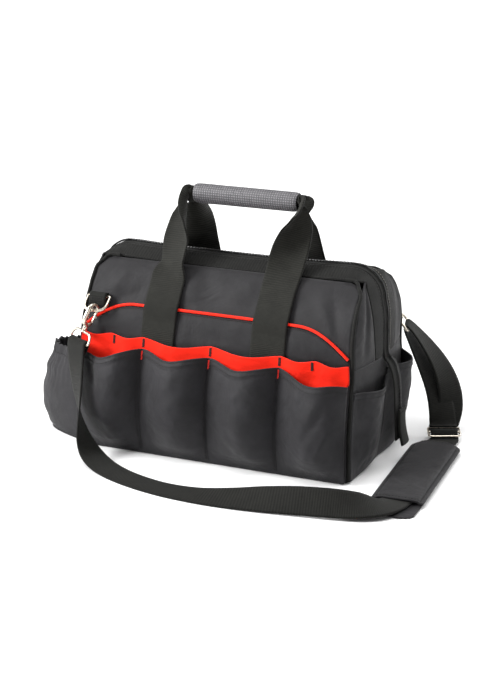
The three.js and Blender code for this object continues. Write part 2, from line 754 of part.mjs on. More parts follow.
function clipCorner(name, side, pull, hookFace, strapTurn) {
  const place = side * ringPlace;
  const barLift = seamGap + webbingThickness / 2 + ringWrap;
  const bar = onWall(side, place, ringBarHeight, barLift);
  const out = onWall(side, place, ringBarHeight, barLift + 1).sub(bar);
  const level = onWall(side, place + 1, ringBarHeight, 0).sub(onWall(side, place - 1, ringBarHeight, 0));
  level.normalize();
  const rise = level.clone().cross(out).normalize();
  if (rise.z < 0) rise.negate();
  const tilt = degToRad(ringTilt);
  const hang = rise.clone().multiplyScalar(-Math.cos(tilt)).addScaledVector(out, Math.sin(tilt));
  const ringUp = hang.clone().negate();
  const ringFace = level.clone().cross(ringUp);
  const ringFrame = frameAt(bar.clone().addScaledVector(ringUp, ringStock / 2), ringUp, ringFace);
  const ringShape = ringOutline(0);
  ringShape.holes.push(ringOutline(ringStock));
  addMesh(`d_ring_${name}`, plate(ringShape, ringStock), nickel, ringFrame.group);

  const tabRows = [
    { up: -14, lift: -ringWrap },
    { up: -9, lift: -ringWrap },
    { up: 0, lift: -ringWrap },
    { up: 0.75 * ringWrap, lift: -0.75 * ringWrap },
    { up: ringWrap, lift: 0 },
    { up: 0.75 * ringWrap, lift: 0.75 * ringWrap },
    { up: 0, lift: ringWrap },
    { up: -6, lift: ringWrap - 0.6 },
  ].map(({ up, lift }) => ({
    at: bar.clone().addScaledVector(rise, up).addScaledVector(out, lift),
    across: level,
    width: tabWebbingWidth,
    thickness: webbingThickness,
  }));
  addMesh(`ring_tab_${name}`, ribbon(tabRows), webbingBlack);

  const wire = bar.clone().addScaledVector(hang, ringHeight - ringStock);
  const up = pull.clone().normalize().negate();
  const bowCentre = wire.clone().addScaledVector(up, -wireSeat);
  const hook = frameAt(bowCentre, up, hookFace);
  addMesh(`snap_hook_${name}`, plate(hookOutline(), hookThickness), nickel, hook.group);
  const gate = addMesh(`hook_gate_${name}`, plate(gateOutline(), hookThickness - 0.6), nickel, hook.group);
  gate.position.set(hookBore + hookStock / 2, -gateFoot, 0);

  const strapAcross = new THREE.Vector3(Math.cos(degToRad(strapTurn)), Math.sin(degToRad(strapTurn)), 0);
  const eyeFace = strapAcross.clone().cross(up);
  const eye = frameAt(bowCentre.clone().addScaledVector(up, -eyeTop), up, eyeFace);
  addMesh(`swivel_eye_${name}`, plate(eyeShape(), eyeStock), nickel, eye.group);
  const barCentre = eye.origin.clone().addScaledVector(up, -(eyeHeight - eyeStock / 2));
  return { bar: barCentre, up, across: eye.x, face: eye.z };
}

const leftClip = clipCorner(
  'left', -1,
  new THREE.Vector3(-0.3, -0.37, -0.88),
  new THREE.Vector3(0.95, -0.31, 0),
  -25,
);
const rightClip = clipCorner(
  'right', 1,
  new THREE.Vector3(0.55, 0.3, -0.78),
  new THREE.Vector3(-0.98, -0.1, 0),
  105,
);

// Rows of strap round the bar of a swivel eye, from one side of it over the top to the other
function eyeTurn({ bar, up, face }, acrossEye, first, last) {
  return [
    { up: -first, out: -1 },
    { up: 0, out: -1 },
    { up: 0.72, out: -0.72 },
    { up: 1, out: 0 },
    { up: 0.72, out: 0.72 },
    { up: 0, out: 1 },
    { up: -last, out: 1 },
  ].map((row) => ({
    at: bar.clone().addScaledVector(up, row.up * eyeWrap).addScaledVector(face, row.out * eyeWrap),
    across: acrossEye,
    width: strapWidth,
    thickness: webbingThickness,
  }));
}

function strapRows(route) {
  return route.map(({ x, y, z, turn, roll = 0 }) => {
    const level = Math.cos(degToRad(roll));
    const direction = new THREE.Vector3(
      level * Math.cos(degToRad(turn)),
      level * Math.sin(degToRad(turn)),
      Math.sin(degToRad(roll)),
    );
    const at = new THREE.Vector3(x, y, z);
    return { at, across: direction, width: strapWidth, thickness: webbingThickness };
  });
}

// Route of the shoulder strap from the left clip down to the floor, along the front and into the pad.
// turn is the direction across the strap seen from above, and roll tips it up onto its edge.
const strapBed = padBaseThickness + seamGap + webbingThickness / 2;
const floorLevel = webbingThickness / 2 + 0.4;
const frontRoute = [
  { x: -190, y: -127, z: 118, turn: -30 },
  { x: -187, y: -133, z: 95, turn: -40 },
  { x: -181, y: -140, z: 70, turn: -52 },
  { x: -174, y: -148, z: 46, turn: -66 },
  { x: -163, y: -158, z: 23, turn: -85 },
  { x: -149, y: -168, z: 8, turn: -105 },
  { x: -129, y: -181, z: floorLevel, turn: -120 },
  { x: -99, y: -198, z: floorLevel, turn: -120 },
  { x: -60, y: -214, z: floorLevel, turn: -111 },
  { x: -14, y: -226, z: floorLevel, turn: -101 },
  { x: 35, y: -231, z: floorLevel + 0.5, turn: -95, roll: -1 },
  { x: 85, y: -229, z: 8, turn: -90, roll: -17 },
  { x: 134, y: -226, z: 14, turn: -88, roll: -38 },
  { x: 180, y: -222, z: 19, turn: -88, roll: -62 },
  { x: 225, y: -217, z: 20, turn: -80, roll: -60 },
  { x: 257, y: -208, z: 18, turn: -58, roll: -38 },
  { x: 277, y: -188, z: 12, turn: -30, roll: -10 },
  { x: 286, y: -163, z: strapBed + 0.6, turn: -4 },
];
const padAxis = new THREE.Vector3(-Math.sin(degToRad(padTurn)), Math.cos(degToRad(padTurn)), 0);
const inPad = [-0.32, -0.1, 0.15, 0.4, 0.51].map((share) => ({
  x: padCentre.x + padAxis.x * padLength * share,
  y: padCentre.y + padAxis.y * padLength * share,
  z: strapBed,
  turn: padTurn,
}));

// Slider: a plate with two slots, lying behind the pad and turned to the strap's run
const sliderTurn = 24;
const sliderCentre = new THREE.Vector3(265, 103, 12.5);
const sliderAcross = new THREE.Vector3(Math.cos(degToRad(sliderTurn)), Math.sin(degToRad(sliderTurn)), 0);
const sliderPitch = degToRad(12);
const sliderAlong = new THREE.Vector3(-sliderAcross.y, sliderAcross.x, 0)
  .multiplyScalar(Math.cos(sliderPitch)).add(new THREE.Vector3(0, 0, Math.sin(sliderPitch)));
const sliderUp = new THREE.Vector3().crossVectors(sliderAcross, sliderAlong);
if (sliderUp.z < 0) sliderUp.negate();
function rectangle(width, low, high, isHole) {
  const outline = isHole ? new THREE.Path() : new THREE.Shape();
  outline.moveTo(-width / 2, low);
  outline.lineTo(width / 2, low);
  outline.lineTo(width / 2, high);
  outline.lineTo(-width / 2, high);
  return outline;
}
const sliderBar = 3.5;
const sliderSlot = strapWidth + 1.2;
const sliderShape = rectangle(sliderSlot + 2 * sliderBar + 2, -sliderLength / 2, sliderLength / 2, false);
const slotHigh = sliderLength / 2 - sliderBar;
sliderShape.holes.push(rectangle(sliderSlot, -slotHigh, -sliderBar / 2, true));
sliderShape.holes.push(rectangle(sliderSlot, sliderBar / 2, slotHigh, true));
const sliderFrame = frameAt(sliderCentre, sliderAlong, sliderUp);
addMesh('strap_slider', plate(sliderShape, sliderThickness), nickel, sliderFrame.group);

const underSlider = sliderThickness / 2 + seamGap + webbingThickness / 2;
const loopUnder = underSlider + webbingThickness + seamGap;
function sliderRow(along, over) {
  const at = sliderCentre.clone().addScaledVector(sliderAlong, along).addScaledVector(sliderUp, over);
  return { at, across: sliderAcross, width: strapWidth, thickness: webbingThickness };
}
const throughSlider = [
  sliderRow(-sliderLength / 2 - 1, -underSlider - 0.4),
  sliderRow(-slotHigh + 0.2, -underSlider),
  sliderRow(-sliderBar / 2 - 0.4, underSlider),
  sliderRow(sliderBar / 2 + 0.4, underSlider),
  sliderRow(slotHigh - 0.6, -loopUnder + 0.6),
  sliderRow(sliderLength / 2 + 1.5, -loopUnder),
];

const frontStrap = [
  ...eyeTurn(leftClip, leftClip.across, 3.2, 1.2),
  ...strapRows(frontRoute),
  ...strapRows(inPad),
];
const longStrap = [...smoothRows(frontStrap, 2), ...throughSlider];
addMesh('shoulder_strap', ribbon(longStrap), webbingBlack);

// Adjuster: from the slider up to the right clip, round its eye and back to the slider's far bar
const outerRoute = [
  { x: 260, y: 129, z: 19, turn: 28 },
  { x: 267, y: 134, z: 36, turn: 37 },
  { x: 265, y: 137, z: 56, turn: 50 },
  { x: 258, y: 138, z: 79, turn: 62 },
  { x: 246, y: 136, z: 105, turn: 74 },
  { x: 230, y: 130, z: 129, turn: 88 },
];
const innerRoute = [
  { x: 217, y: 123, z: 118, turn: 88 },
  { x: 229, y: 127, z: 98, turn: 74 },
  { x: 242, y: 128, z: 76, turn: 62 },
  { x: 251, y: 127, z: 54, turn: 50 },
  { x: 257, y: 122, z: 34, turn: 37 },
];
const rightAcross = rightClip.across.clone().multiplyScalar(Math.sign(rightClip.across.y));
const farSide = rightClip.face.z > 0 ? rightClip : { ...rightClip, face: rightClip.face.clone().negate() };
const adjuster = [
  sliderRow(sliderLength / 2 + 1.5 + 2 * seamGap, -loopUnder - 0.2),
  sliderRow(sliderLength / 2 + 6, -loopUnder - 0.2),
  ...smoothRows([
    ...strapRows(outerRoute),
    ...eyeTurn(farSide, rightAcross, 1.2, 1.2).reverse(),
    ...strapRows(innerRoute),
    sliderRow(sliderLength / 2 + 1, underSlider + 0.8),
  ], 2),
  sliderRow(slotHigh - 1, underSlider + 0.4),
];
addMesh('adjuster_strap', ribbon(adjuster), webbingBlack);

// Shoulder pad: a flat base and a sleeve that the strap runs through
function padOutline(length, width, corner) {
  const outline = new THREE.Shape();
  const x = width / 2;
  const y = length / 2;
  outline.moveTo(-x + corner, -y);
  outline.absarc(x - corner, -y + corner, corner, -Math.PI / 2, 0, false);
  outline.absarc(x - corner, y - corner, corner, 0, Math.PI / 2, false);
  outline.absarc(-x + corner, y - corner, corner, Math.PI / 2, Math.PI, false);
  outline.absarc(-x + corner, -y + corner, corner, Math.PI, 1.5 * Math.PI, false);
  return outline;
}
const pad = new THREE.Group();
pad.position.set(padCentre.x, padCentre.y, 0);
pad.rotation.z = degToRad(padTurn);
bag.add(pad);
const padCorner = 16;
const padBase = new THREE.ExtrudeGeometry(padOutline(padLength, padWidth, padCorner), {
  depth: padBaseThickness, bevelEnabled: false, curveSegments: 4,
});
addMesh('pad_base', padBase, clothBlack, pad);

const coverLow = padBaseThickness + seamGap;
const coverHigh = coverLow + webbingThickness + 1.2 + padCoverThickness;
const cover = sheet(10, 8, (s, t) => {
  const along = lerp(padLength / 2 - padCoverLength, padLength / 2 - 1, t);
  const fromEnd = Math.min(padLength / 2 - along, padCorner);
  const narrowed = padCorner - Math.sqrt(padCorner ** 2 - (padCorner - fromEnd) ** 2);
  const share = lerp(-1, 1, s);
  const crown = clamp((1 - Math.abs(share)) / 0.38, 0, 1);
  const z = lerp(coverLow + padCoverThickness, coverHigh, Math.sin((Math.PI / 2) * crown));
  return new THREE.Vector3(share * (padWidth / 2 - narrowed), along, z);
}, padCoverThickness);
addMesh('pad_cover', cover, clothBlack, pad);

export default bag;
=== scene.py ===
"""Tool bag: cloth shell, pockets, webbing, hardware, strap and pad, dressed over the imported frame."""

import math

import bmesh
import bpy
from mathutils import Matrix, Vector, noise


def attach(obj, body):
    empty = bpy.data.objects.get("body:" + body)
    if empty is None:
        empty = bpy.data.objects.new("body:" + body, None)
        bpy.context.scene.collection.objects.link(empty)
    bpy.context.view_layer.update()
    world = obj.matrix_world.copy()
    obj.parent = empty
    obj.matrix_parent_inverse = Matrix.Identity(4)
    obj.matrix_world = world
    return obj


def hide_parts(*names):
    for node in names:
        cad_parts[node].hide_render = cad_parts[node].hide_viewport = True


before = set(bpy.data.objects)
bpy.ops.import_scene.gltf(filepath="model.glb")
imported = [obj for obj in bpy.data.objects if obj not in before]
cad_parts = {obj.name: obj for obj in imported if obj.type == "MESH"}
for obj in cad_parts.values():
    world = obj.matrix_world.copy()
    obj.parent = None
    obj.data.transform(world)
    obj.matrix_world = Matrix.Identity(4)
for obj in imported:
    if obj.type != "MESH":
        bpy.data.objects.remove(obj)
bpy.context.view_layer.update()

bl_info = {
    "name": "Tool Bag",
    "version": (1, 0, 0),
    "blender": (4, 5, 0),
    "location": "3D View > Sidebar > Tool Bag",
    "description": "Dresses a tool bag with cloth, webbing, hardware and a padded strap",
    "category": "Object",
}

BODY = "bag"
MM = 0.001
WALLS = (("front", -1), ("back", 1))
ENDS = (("left", -1), ("right", 1))

# Sizes of the shell, in millimetres
BAG_LENGTH = 400
BAG_DEPTH = 205
ZIP_HEIGHT = 268
SHELL_CLOTH = 2.4
POCKET_CLOTH = 1.5
WEBBING = 2.2
BOUND_EDGE = 2.4
SEAM_GAP = 0.3
BAND_FOOT = 256
BAND_END = 152
ZIP_CORNER = 42
ZIP_TAPE = 21
COIL_RADIUS = 1.6
TOP_SAG = 3
WALL_CROWN = 4
SLUMP_FOOT = 130
SLUMP_SHARE = 0.2

# Pockets
POCKET_PITCH = 100
POCKET_HEM = 146
OUTER_HEM = 131
POCKET_BULGE = 29
POCKET_LEAN = 1.5
HEM_SAG = 11
LINING_TOP = 161
LINING_SAG = 7
LINING_BULGE = 6
LINING_FOOT = 98
SLIP_TOP = 198
SLIP_DROP = 38
SLIP_START = 120
SLIP_PIPING = 2
CORNER_PIPING = 2.6
END_HEM = 122
END_BULGE = 22
POD_HEM = 128
POD_BULGE = 74
POD_INNER = 12

# Zip tails, handles and grip
TAIL_WIDTH = 28
TAIL_END = 34
TAB_HEIGHT = 44
HANDLE_WIDTH = 50
HANDLE_CENTRE = 81
HANDLE_FOOT = 112
BACK_FOOT = 10
GRIP_HEIGHT = 346
GRIP_CENTRE = 9
GRIP_LENGTH = 152
GRIP_RADIUS = 13
FOLDED_WIDTH = 18

# Rings, hooks, strap, slider and pad
RING_WIDTH = 38
RING_HEIGHT = 28
RING_STOCK = 4
RING_PLACE = 177
RING_BAR = 205
RING_TILT = 23
TAB_WIDTH = 25
HOOK_BORE = 6
HOOK_STOCK = 3.6
HOOK_SPINE = 18.5
HOOK_BASE = 6
HOOK_BARREL = 5
GATE_LENGTH = 15
GATE_FOOT = 16.5
STRAP_WIDTH = 38
EYE_STOCK = 3.6
EYE_HEIGHT = 19
EYE_SHOULDER = 9
SLIDER_LENGTH = 26
PAD_LENGTH = 262
PAD_WIDTH = 68
PAD_BASE = 4
PAD_COVER = 3
PAD_COVER_LENGTH = 219
PAD_CENTRE = (277, -61)
PAD_TURN = 3.8
PAD_CORNER = 16

# Form of the shell: height, depth, seam reach and end reach, as shares of the sizes above
SHELL_FORM = [
    (0, 1, 1, 1),
    (0.15, 1.05, 1.005, 1.03),
    (0.27, 1.045, 1.005, 1.045),
    (0.42, 0.985, 1.003, 1.055),
    (0.53, 0.905, 1, 1.06),
    (0.66, 0.83, 0.995, 1.06),
    (0.79, 0.69, 0.988, 1.053),
    (0.89, 0.525, 0.98, 1.02),
    (0.955, 0.352, 0.97, 0.97),
]

# Folds pressed into a wall: place along and up, turn of the fold, its length, width and height
FRONT_FOLDS = [
    (-158, 226, 48, 34, 9, 2.6),
    (-128, 214, 24, 40, 10, -2.2),
    (-24, 232, -62, 26, 16, -2.4),
    (28, 228, 58, 28, 14, 2.2),
    (-4, 214, 8, 46, 9, -1.6),
    (148, 228, -52, 32, 10, 3.2),
    (172, 206, -66, 34, 7, -3.0),
    (152, 186, -48, 30, 8, 2.0),
    (128, 236, 18, 22, 10, -2.2),
    (-164, 196, 60, 26, 8, 1.8),
]
BACK_FOLDS = [
    (-150, 190, -40, 60, 14, 3),
    (-20, 150, 30, 70, 18, -3),
    (40, 205, -20, 60, 14, 2.6),
    (150, 120, 55, 70, 16, 3),
    (0, 70, 12, 90, 20, -2.4),
    (-160, 80, 70, 50, 12, 2.4),
]
POCKET_FOLDS = [
    (-172, 118, -58, 30, 7, -4.2),
    (-186, 84, -72, 34, 8, -3.2),
    (-150, 60, -48, 46, 14, 2.6),
    (-92, 112, 78, 22, 4, 3.2),
    (-84, 92, 66, 20, 4, -2.4),
    (-52, 96, 84, 40, 14, 1.6),
    (8, 110, 80, 24, 4, 2.8),
    (18, 84, 72, 30, 6, -1.8),
    (60, 60, -70, 36, 14, 1.8),
    (110, 104, 80, 24, 5, 2.6),
    (132, 110, 86, 36, 9, 2.2),
    (168, 92, 56, 30, 7, -3.6),
    (178, 66, 62, 34, 6, 3.0),
    (186, 40, 76, 30, 5, -3.4),
    (152, 44, 66, 24, 8, 1.6),
]
SLIP_FOLDS = [
    (-150, 176, 18, 40, 14, 1.6),
    (-30, 176, -12, 60, 12, -1.4),
    (40, 186, 6, 50, 8, 1.2),
    (140, 176, -30, 36, 12, 2.0),
]


def lerp(a, b, share):
    return a + (b - a) * share


def clamp(value, low, high):
    return max(low, min(high, value))


def ease(value):
    """Smooth step from 0 to 1."""
    value = clamp(value, 0, 1)
    return value * value * (3 - 2 * value)


def spaced(low, high, count):
    """Evenly spaced values from low to high, both ends included."""
    return [lerp(low, high, index / count) for index in range(count + 1)]


def form_at(z, column):
    """Share of a size at a height, read smoothly from a column of the form."""
    share = clamp(z / ZIP_HEIGHT, 0, SHELL_FORM[-1][0])
    upper = next(i for i, row in enumerate(SHELL_FORM) if row[0] >= share)
    upper = max(upper, 1)
    a, b = SHELL_FORM[upper - 1], SHELL_FORM[upper]
    before = SHELL_FORM[max(upper - 2, 0)]
    after = SHELL_FORM[min(upper + 1, len(SHELL_FORM) - 1)]
    slope_a = (b[column] - before[column]) / (b[0] - before[0])
    slope_b = (after[column] - a[column]) / (after[0] - a[0])
    span = b[0] - a[0]
    u = (share - a[0]) / span
    bend = span * u * (1 - u) * ((1 - u) * slope_a - u * slope_b)
    return lerp(a[column], b[column], u * u * (3 - 2 * u)) + bend


def half_depth(z):
    return BAG_DEPTH / 2 * form_at(z, 1)


def seam_reach(z):
    return BAG_LENGTH / 2 * form_at(z, 2)


def end_reach(z):
    return BAG_LENGTH / 2 * form_at(z, 3)


def slump(x, z):
    """How much deeper the bag sags at its upper right."""
    rise = clamp((z - SLUMP_FOOT) / (BAND_FOOT - SLUMP_FOOT), 0, 1)
    to_right = clamp(x / (BAG_LENGTH / 2), 0, 1)
    return 1 + SLUMP_SHARE * to_right**2 * 6.75 * rise**2 * (1 - rise)


def wall_point(side, x, z):
    """Place on the front (-1) or back (1) of the shell."""
    across = x / seam_reach(z)
    crown = WALL_CROWN * math.sin(math.pi * clamp(z / BAND_FOOT, 0, 1)) * (1 - across**2)
    return Vector((x, side * (half_depth(z) + crown) * slump(x, z), z))


def end_point(side, y, z):
    """Place on the left (-1) or right (1) end of the shell."""
    across = y / half_depth(z)
    x = lerp(end_reach(z), seam_reach(z), across**2)
    return Vector((side * x, y * slump(side * x, z), z))


def lifted(point, side, at, z, lift):
    """Place on a surface, moved along the direction that stands on it."""
    level = point(side, at + 0.5, z) - point(side, at - 0.5, z)
    rise = point(side, at, z + 0.5) - point(side, at, z - 0.5)
    return point(side, at, z) + level.cross(rise).normalized() * lift


def on_wall(side, x, z, lift):
    return lifted(wall_point, side, x, z, -side * lift)


def on_end(side, y, z, lift):
    return lifted(end_point, side, y, z, side * lift)


FLOOR_GAP = SHELL_CLOTH + SEAM_GAP
SEAM_INSET = CORNER_PIPING + SEAM_GAP
PANEL_TOP = BAND_FOOT - 2
SLIP_LIFT = 3 * SEAM_GAP + POCKET_CLOTH
HANDLE_LIFT = SLIP_LIFT + SEAM_GAP + WEBBING
LINING_LIFT = HANDLE_LIFT + SEAM_GAP + POCKET_CLOTH
POCKET_LIFT = LINING_LIFT + 2 * SEAM_GAP + POCKET_CLOTH


def panel_reach(z):
    return seam_reach(z) - SEAM_INSET


def end_seam(z):
    return half_depth(z) - SEAM_INSET


def folds_at(table, x, z):
    """Height of the pressed folds of a table at a place on a wall."""
    total = 0
    for at_x, at_z, turn, length, width, height in table:
        angle = math.radians(turn)
        dx, dz = x - at_x, z - at_z
        along = dx * math.cos(angle) + dz * math.sin(angle)
        off = dz * math.cos(angle) - dx * math.sin(angle)
        total += height * math.exp(-((along / length) ** 2) - (off / width) ** 2)
    return total


def ripple(x, z, wave, depth, seed):
    """Soft unevenness of cloth: smooth noise of that wavelength and depth."""
    place = Vector((x / wave, z / wave, seed))
    return depth * (noise.noise(place) + 0.45 * noise.noise(place * 2.3))


def catmull(points, count):
    """Evenly many points on a smooth curve through the given ones."""
    found = []
    last = len(points) - 1
    for index in range(count + 1):
        place = last * index / count
        low = min(int(place), last - 1)
        share = place - low
        p1, p2 = points[low], points[low + 1]
        p0 = points[low - 1] if low > 0 else p1 * 2 - p2
        p3 = points[low + 2] if low + 2 <= last else p2 * 2 - p1
        d1 = (p2 - p1).length ** 0.5 or 1
        d0 = (p1 - p0).length ** 0.5
        d2 = (p3 - p2).length ** 0.5
        d0 = d1 if d0 < 1e-4 else d0
        d2 = d1 if d2 < 1e-4 else d2
        t1 = ((p1 - p0) / d0 - (p2 - p0) / (d0 + d1) + (p2 - p1) / d1) * d1
        t2 = ((p2 - p1) / d1 - (p3 - p1) / (d1 + d2) + (p3 - p2) / d2) * d1
        c2 = (p2 - p1) * 3 - t1 * 2 - t2
        c3 = (p1 - p2) * 2 + t1 + t2
        found.append(p1 + t1 * share + c2 * share**2 + c3 * share**3)
    return found


def basis(x, y, z, origin=(0, 0, 0)):
    """Matrix whose columns are those axes, at that origin."""
    matrix = Matrix((x, y, z)).transposed().to_4x4()
    matrix.translation = origin
    return matrix


def placed(points, matrix):
    return [matrix @ point for point in points]


def flat_points(pairs):
    return [Vector((x, y, 0)) for x, y in pairs]


def arc_points(centre, radius, start, stop, count):
    angles = [math.radians(angle) for angle in spaced(start, stop, count)]
    return flat_points([
        (centre[0] + radius * math.cos(angle), centre[1] + radius * math.sin(angle)) for angle in angles])


def closed_path(corners, radii, count=6, share=0.5):
    """Closed outline with rounded corners, none of which takes more than that share of an edge."""
    path = []
    total = len(corners)
    if not isinstance(radii, tuple):
        radii = (radii,) * total
    for index, (at, radius) in enumerate(zip(corners, radii)):
        before, after = corners[index - 1] - at, corners[(index + 1) % total] - at
        cut = min(radius, before.length * share, after.length * share)
        a, b = at + before.normalized() * cut, at + after.normalized() * cut
        path += [a.lerp(at, u).lerp(at.lerp(b, u), u) for u in spaced(0, 1, count)]
    return path


def finish_piece(bm, name, finish, body=BODY, nodes=(), thickness=0, offset=-1, angle=40):
    """Turns a bmesh in metres into a finished object that rides on a body."""
    mesh = bpy.data.meshes.new(name)
    bm.to_mesh(mesh)
    bm.free()
    piece = bpy.data.objects.new(name, mesh)
    bpy.context.scene.collection.objects.link(piece)
    mesh.materials.append(finishes[finish])
    mesh.shade_smooth()
    mesh.set_sharp_from_angle(angle=math.radians(angle))
    if thickness:
        wall = piece.modifiers.new("Wall", "SOLIDIFY")
        wall.thickness = thickness * MM
        wall.offset = offset
        wall.use_quality_normals = True
    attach(piece, body)
    if nodes:
        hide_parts(*nodes)
    return piece


def mapped_grid(columns, rows, place, size, closed=False):
    """Grid whose vertices go where place(s, t) says, with a UV map in metres of real cloth."""
    bm = bmesh.new()
    bmesh.ops.create_grid(bm, x_segments=columns, y_segments=rows, size=0.5)
    low = min(vert.co.x for vert in bm.verts)
    span = max(vert.co.x for vert in bm.verts) - low
    uv = bm.loops.layers.uv.new("cloth")
    for face in bm.faces:
        for loop in face.loops:
            s = (loop.vert.co.x - low) / span
            t = (loop.vert.co.y - low) / span
            loop[uv].uv = ((s - 0.5) * size[0] * MM, t * size[1] * MM)
    for vert in bm.verts:
        vert.co = place((vert.co.x - low) / span, (vert.co.y - low) / span) * MM
    if closed:
        bmesh.ops.remove_doubles(bm, verts=bm.verts, dist=1e-6)
    return bm


def sheet(name, place, grid, size, finish, node, thickness, offset=-1):
    """Finished cloth or tape over a place function, standing for one node of the frame."""
    bm = mapped_grid(*grid, place, size)
    return finish_piece(bm, name, finish, nodes=[node], thickness=thickness, offset=offset)


def tube_mesh(points, radius, sides, closed=False):
    """Round tube along points; radius is a number or a function of the share along it."""
    count = len(points)
    tangents = []
    for index in range(count):
        if closed:
            along = points[(index + 1) % count] - points[index - 1]
        else:
            along = points[min(index + 1, count - 1)] - points[max(index - 1, 0)]
        tangents.append(along.normalized())
    normal = tangents[0].orthogonal().normalized()
    frames = []
    for tangent in tangents:
        normal = (normal - tangent * normal.dot(tangent)).normalized()
        frames.append((normal.copy(), tangent.cross(normal)))
    length = sum((points[i + 1] - points[i]).length for i in range(count - 1))
    rows = count if closed else count - 1

    def place(s, t):
        index = round(t * rows)
        at = points[index % count]
        u, v = frames[index % count]
        size = radius(t) if callable(radius) else radius
        angle = 2 * math.pi * s
        return at + (u * math.cos(angle) + v * math.sin(angle)) * size

    bm = mapped_grid(sides, rows, place, (2 * math.pi * 2, length), closed=True)
    if not closed:
        rim = [edge for edge in bm.edges if edge.is_boundary]
        bmesh.ops.holes_fill(bm, edges=rim, sides=0)
    bmesh.ops.recalc_face_normals(bm, faces=bm.faces)
    return bm


def join_into(target, part):
    """Adds one bmesh to another."""
    mesh = bpy.data.meshes.new("part")
    part.to_mesh(mesh)
    part.free()
    target.from_mesh(mesh)
    bpy.data.meshes.remove(mesh)


def metal_piece(name, matrix, tubes, node, body=BODY, closed=False, angle=50):
    """Nickel piece joined from tubes of points, radius and sides, placed by a matrix."""
    bm = bmesh.new()
    for points, radius, sides in tubes:
        join_into(bm, tube_mesh(placed(points, matrix), radius, sides, closed=closed))
    finish_piece(bm, name, "nickel", body=body, nodes=[node], angle=angle)


def surface_run(place, stations):
    """Points and outward directions on a surface along a list of (s, t) stations."""
    run = []
    for s, t in stations:
        right = place(min(s + 0.004, 1), t) - place(max(s - 0.004, 0), t)
        up = place(s, min(t + 0.004, 1)) - place(s, max(t - 0.004, 0))
        run.append((place(s, t), right.cross(up).normalized()))
    return run


def raised(run, lift):
    return [(point + out * lift, out) for point, out in run]


def tack(bm, at, turn):
    """Adds a small block of thread, turned and sized in millimetres."""
    matrix = Matrix.Translation(at * MM) @ Matrix.Scale(MM, 4) @ turn
    bmesh.ops.create_cube(bm, size=1, matrix=matrix)


def stitches(bm, run, length, pitch, width, lift=0.25, height=0.7):
    """Short thread stitches laid along a run of points and outward directions."""
    walked = 0
    due = pitch / 2
    for (a, out_a), (b, out_b) in zip(run, run[1:]):
        step = (b - a).length
        while step > 0 and due <= walked + step:
            share = (due - walked) / step
            out = out_a.lerp(out_b, share).normalized()
            along = (b - a).normalized()
            side = out.cross(along).normalized()
            tack(bm, a.lerp(b, share) + out * lift, basis(along * length, side * width, out * height))
            due += pitch
        walked += step


def thread_piece(name, runs, finish, length=3, pitch=4.4, width=0.8, lift=0.25, height=0.7):
    """One row of stitches along each run, as a finished piece with blunted ends."""
    bm = bmesh.new()
    for run in runs:
        stitches(bm, run, length, pitch, width, lift, height)
    bmesh.ops.bevel(
        bm, geom=bm.edges[:], offset=0.14 * MM, offset_type="OFFSET", segments=1,
        profile=0.5, affect="EDGES", material=-1,
    )
    return finish_piece(bm, name, finish, angle=60)



# Materials

def hex_colour(text):
    """Linear colour with full alpha from an sRGB hex value."""
    parts = [int(text[i:i + 2], 16) / 255 for i in (1, 3, 5)]
    linear = [c / 12.92 if c <= 0.04045 else ((c + 0.055) / 1.055) ** 2.4 for c in parts]
    return (*linear, 1)


def add_node(tree, kind, settings=None, links=None):
    """Adds a shader node, sets its options and input values, and links its inputs from sockets."""
    node = tree.nodes.new("ShaderNode" + kind)
    for key, value in (settings or {}).items():
        if key in node.inputs:
            node.inputs[key].default_value = value
        else:
            setattr(node, key, value)
    for key, socket in (links or {}).items():
        tree.links.new(socket, node.inputs[key])
    return node


class Finish:
    """Node material under construction; its methods add nodes and return their output sockets."""

    def __init__(self, name):
        self.material = bpy.data.materials.new(name)
        self.material.use_nodes = True
        self.tree = self.material.node_tree
        self.tree.nodes.clear()
        self.shader = self.add("BsdfPrincipled")
        self.add("OutputMaterial", links={0: self.shader.outputs[0]})
        self.place = self.add("TexCoord")

    def add(self, kind, settings=None, links=None):
        return add_node(self.tree, kind, settings, links)

    def grain(self, settings):
        """Noise fixed to the object."""
        return self.add("TexNoise", settings, {"Vector": self.place.outputs["Object"]}).outputs["Fac"]

    def bands(self, millimetres, direction, settings=None):
        """Waves that repeat at that distance along one direction of the UV map."""
        scale = math.pi / 10 / (millimetres * MM)
        settings = {"Scale": scale, "bands_direction": direction, **(settings or {})}
        return self.add("TexWave", settings, {"Vector": self.place.outputs["UV"]}).outputs["Fac"]

    def product(self, a, b):
        return self.add("Math", {"operation": "MULTIPLY"}, {0: a, 1: b}).outputs[0]

    def blend(self, a, b, factor):
        return self.add("Mix", {"data_type": "FLOAT", "Factor": factor}, {2: a, 3: b}).outputs[0]

    def spread(self, value, low, high):
        return self.add("MapRange", {"To Min": low, "To Max": high}, {"Value": value}).outputs[0]

    def two_tone(self, value, dark, light, low=0, high=1):
        """Colour that runs from dark at the low value to light at the high one."""
        ramp = self.add("ValToRGB", links={"Fac": value})
        for element, place, colour in zip(ramp.color_ramp.elements, (low, high), (dark, light)):
            element.position = place
            element.color = hex_colour(colour)
        return ramp.outputs["Color"]

    def shaded(self, colour, amount):
        settings = {"data_type": "RGBA", "blend_type": "MULTIPLY", "Factor": 1.0}
        return self.add("Mix", settings, {6: colour, 7: amount}).outputs[2]

    def bump(self, height, strength, distance, over=None):
        links = {"Height": height}
        if over is not None:
            links["Normal"] = over
        return self.add("Bump", {"Strength": strength, "Distance": distance}, links).outputs["Normal"]

    def finish(self, values, links):
        """Sets and links the shader's inputs and returns the material."""
        for key, value in values.items():
            self.shader.inputs[key].default_value = value
        for key, socket in links.items():
            self.tree.links.new(socket, self.shader.inputs[key])
        return self.material


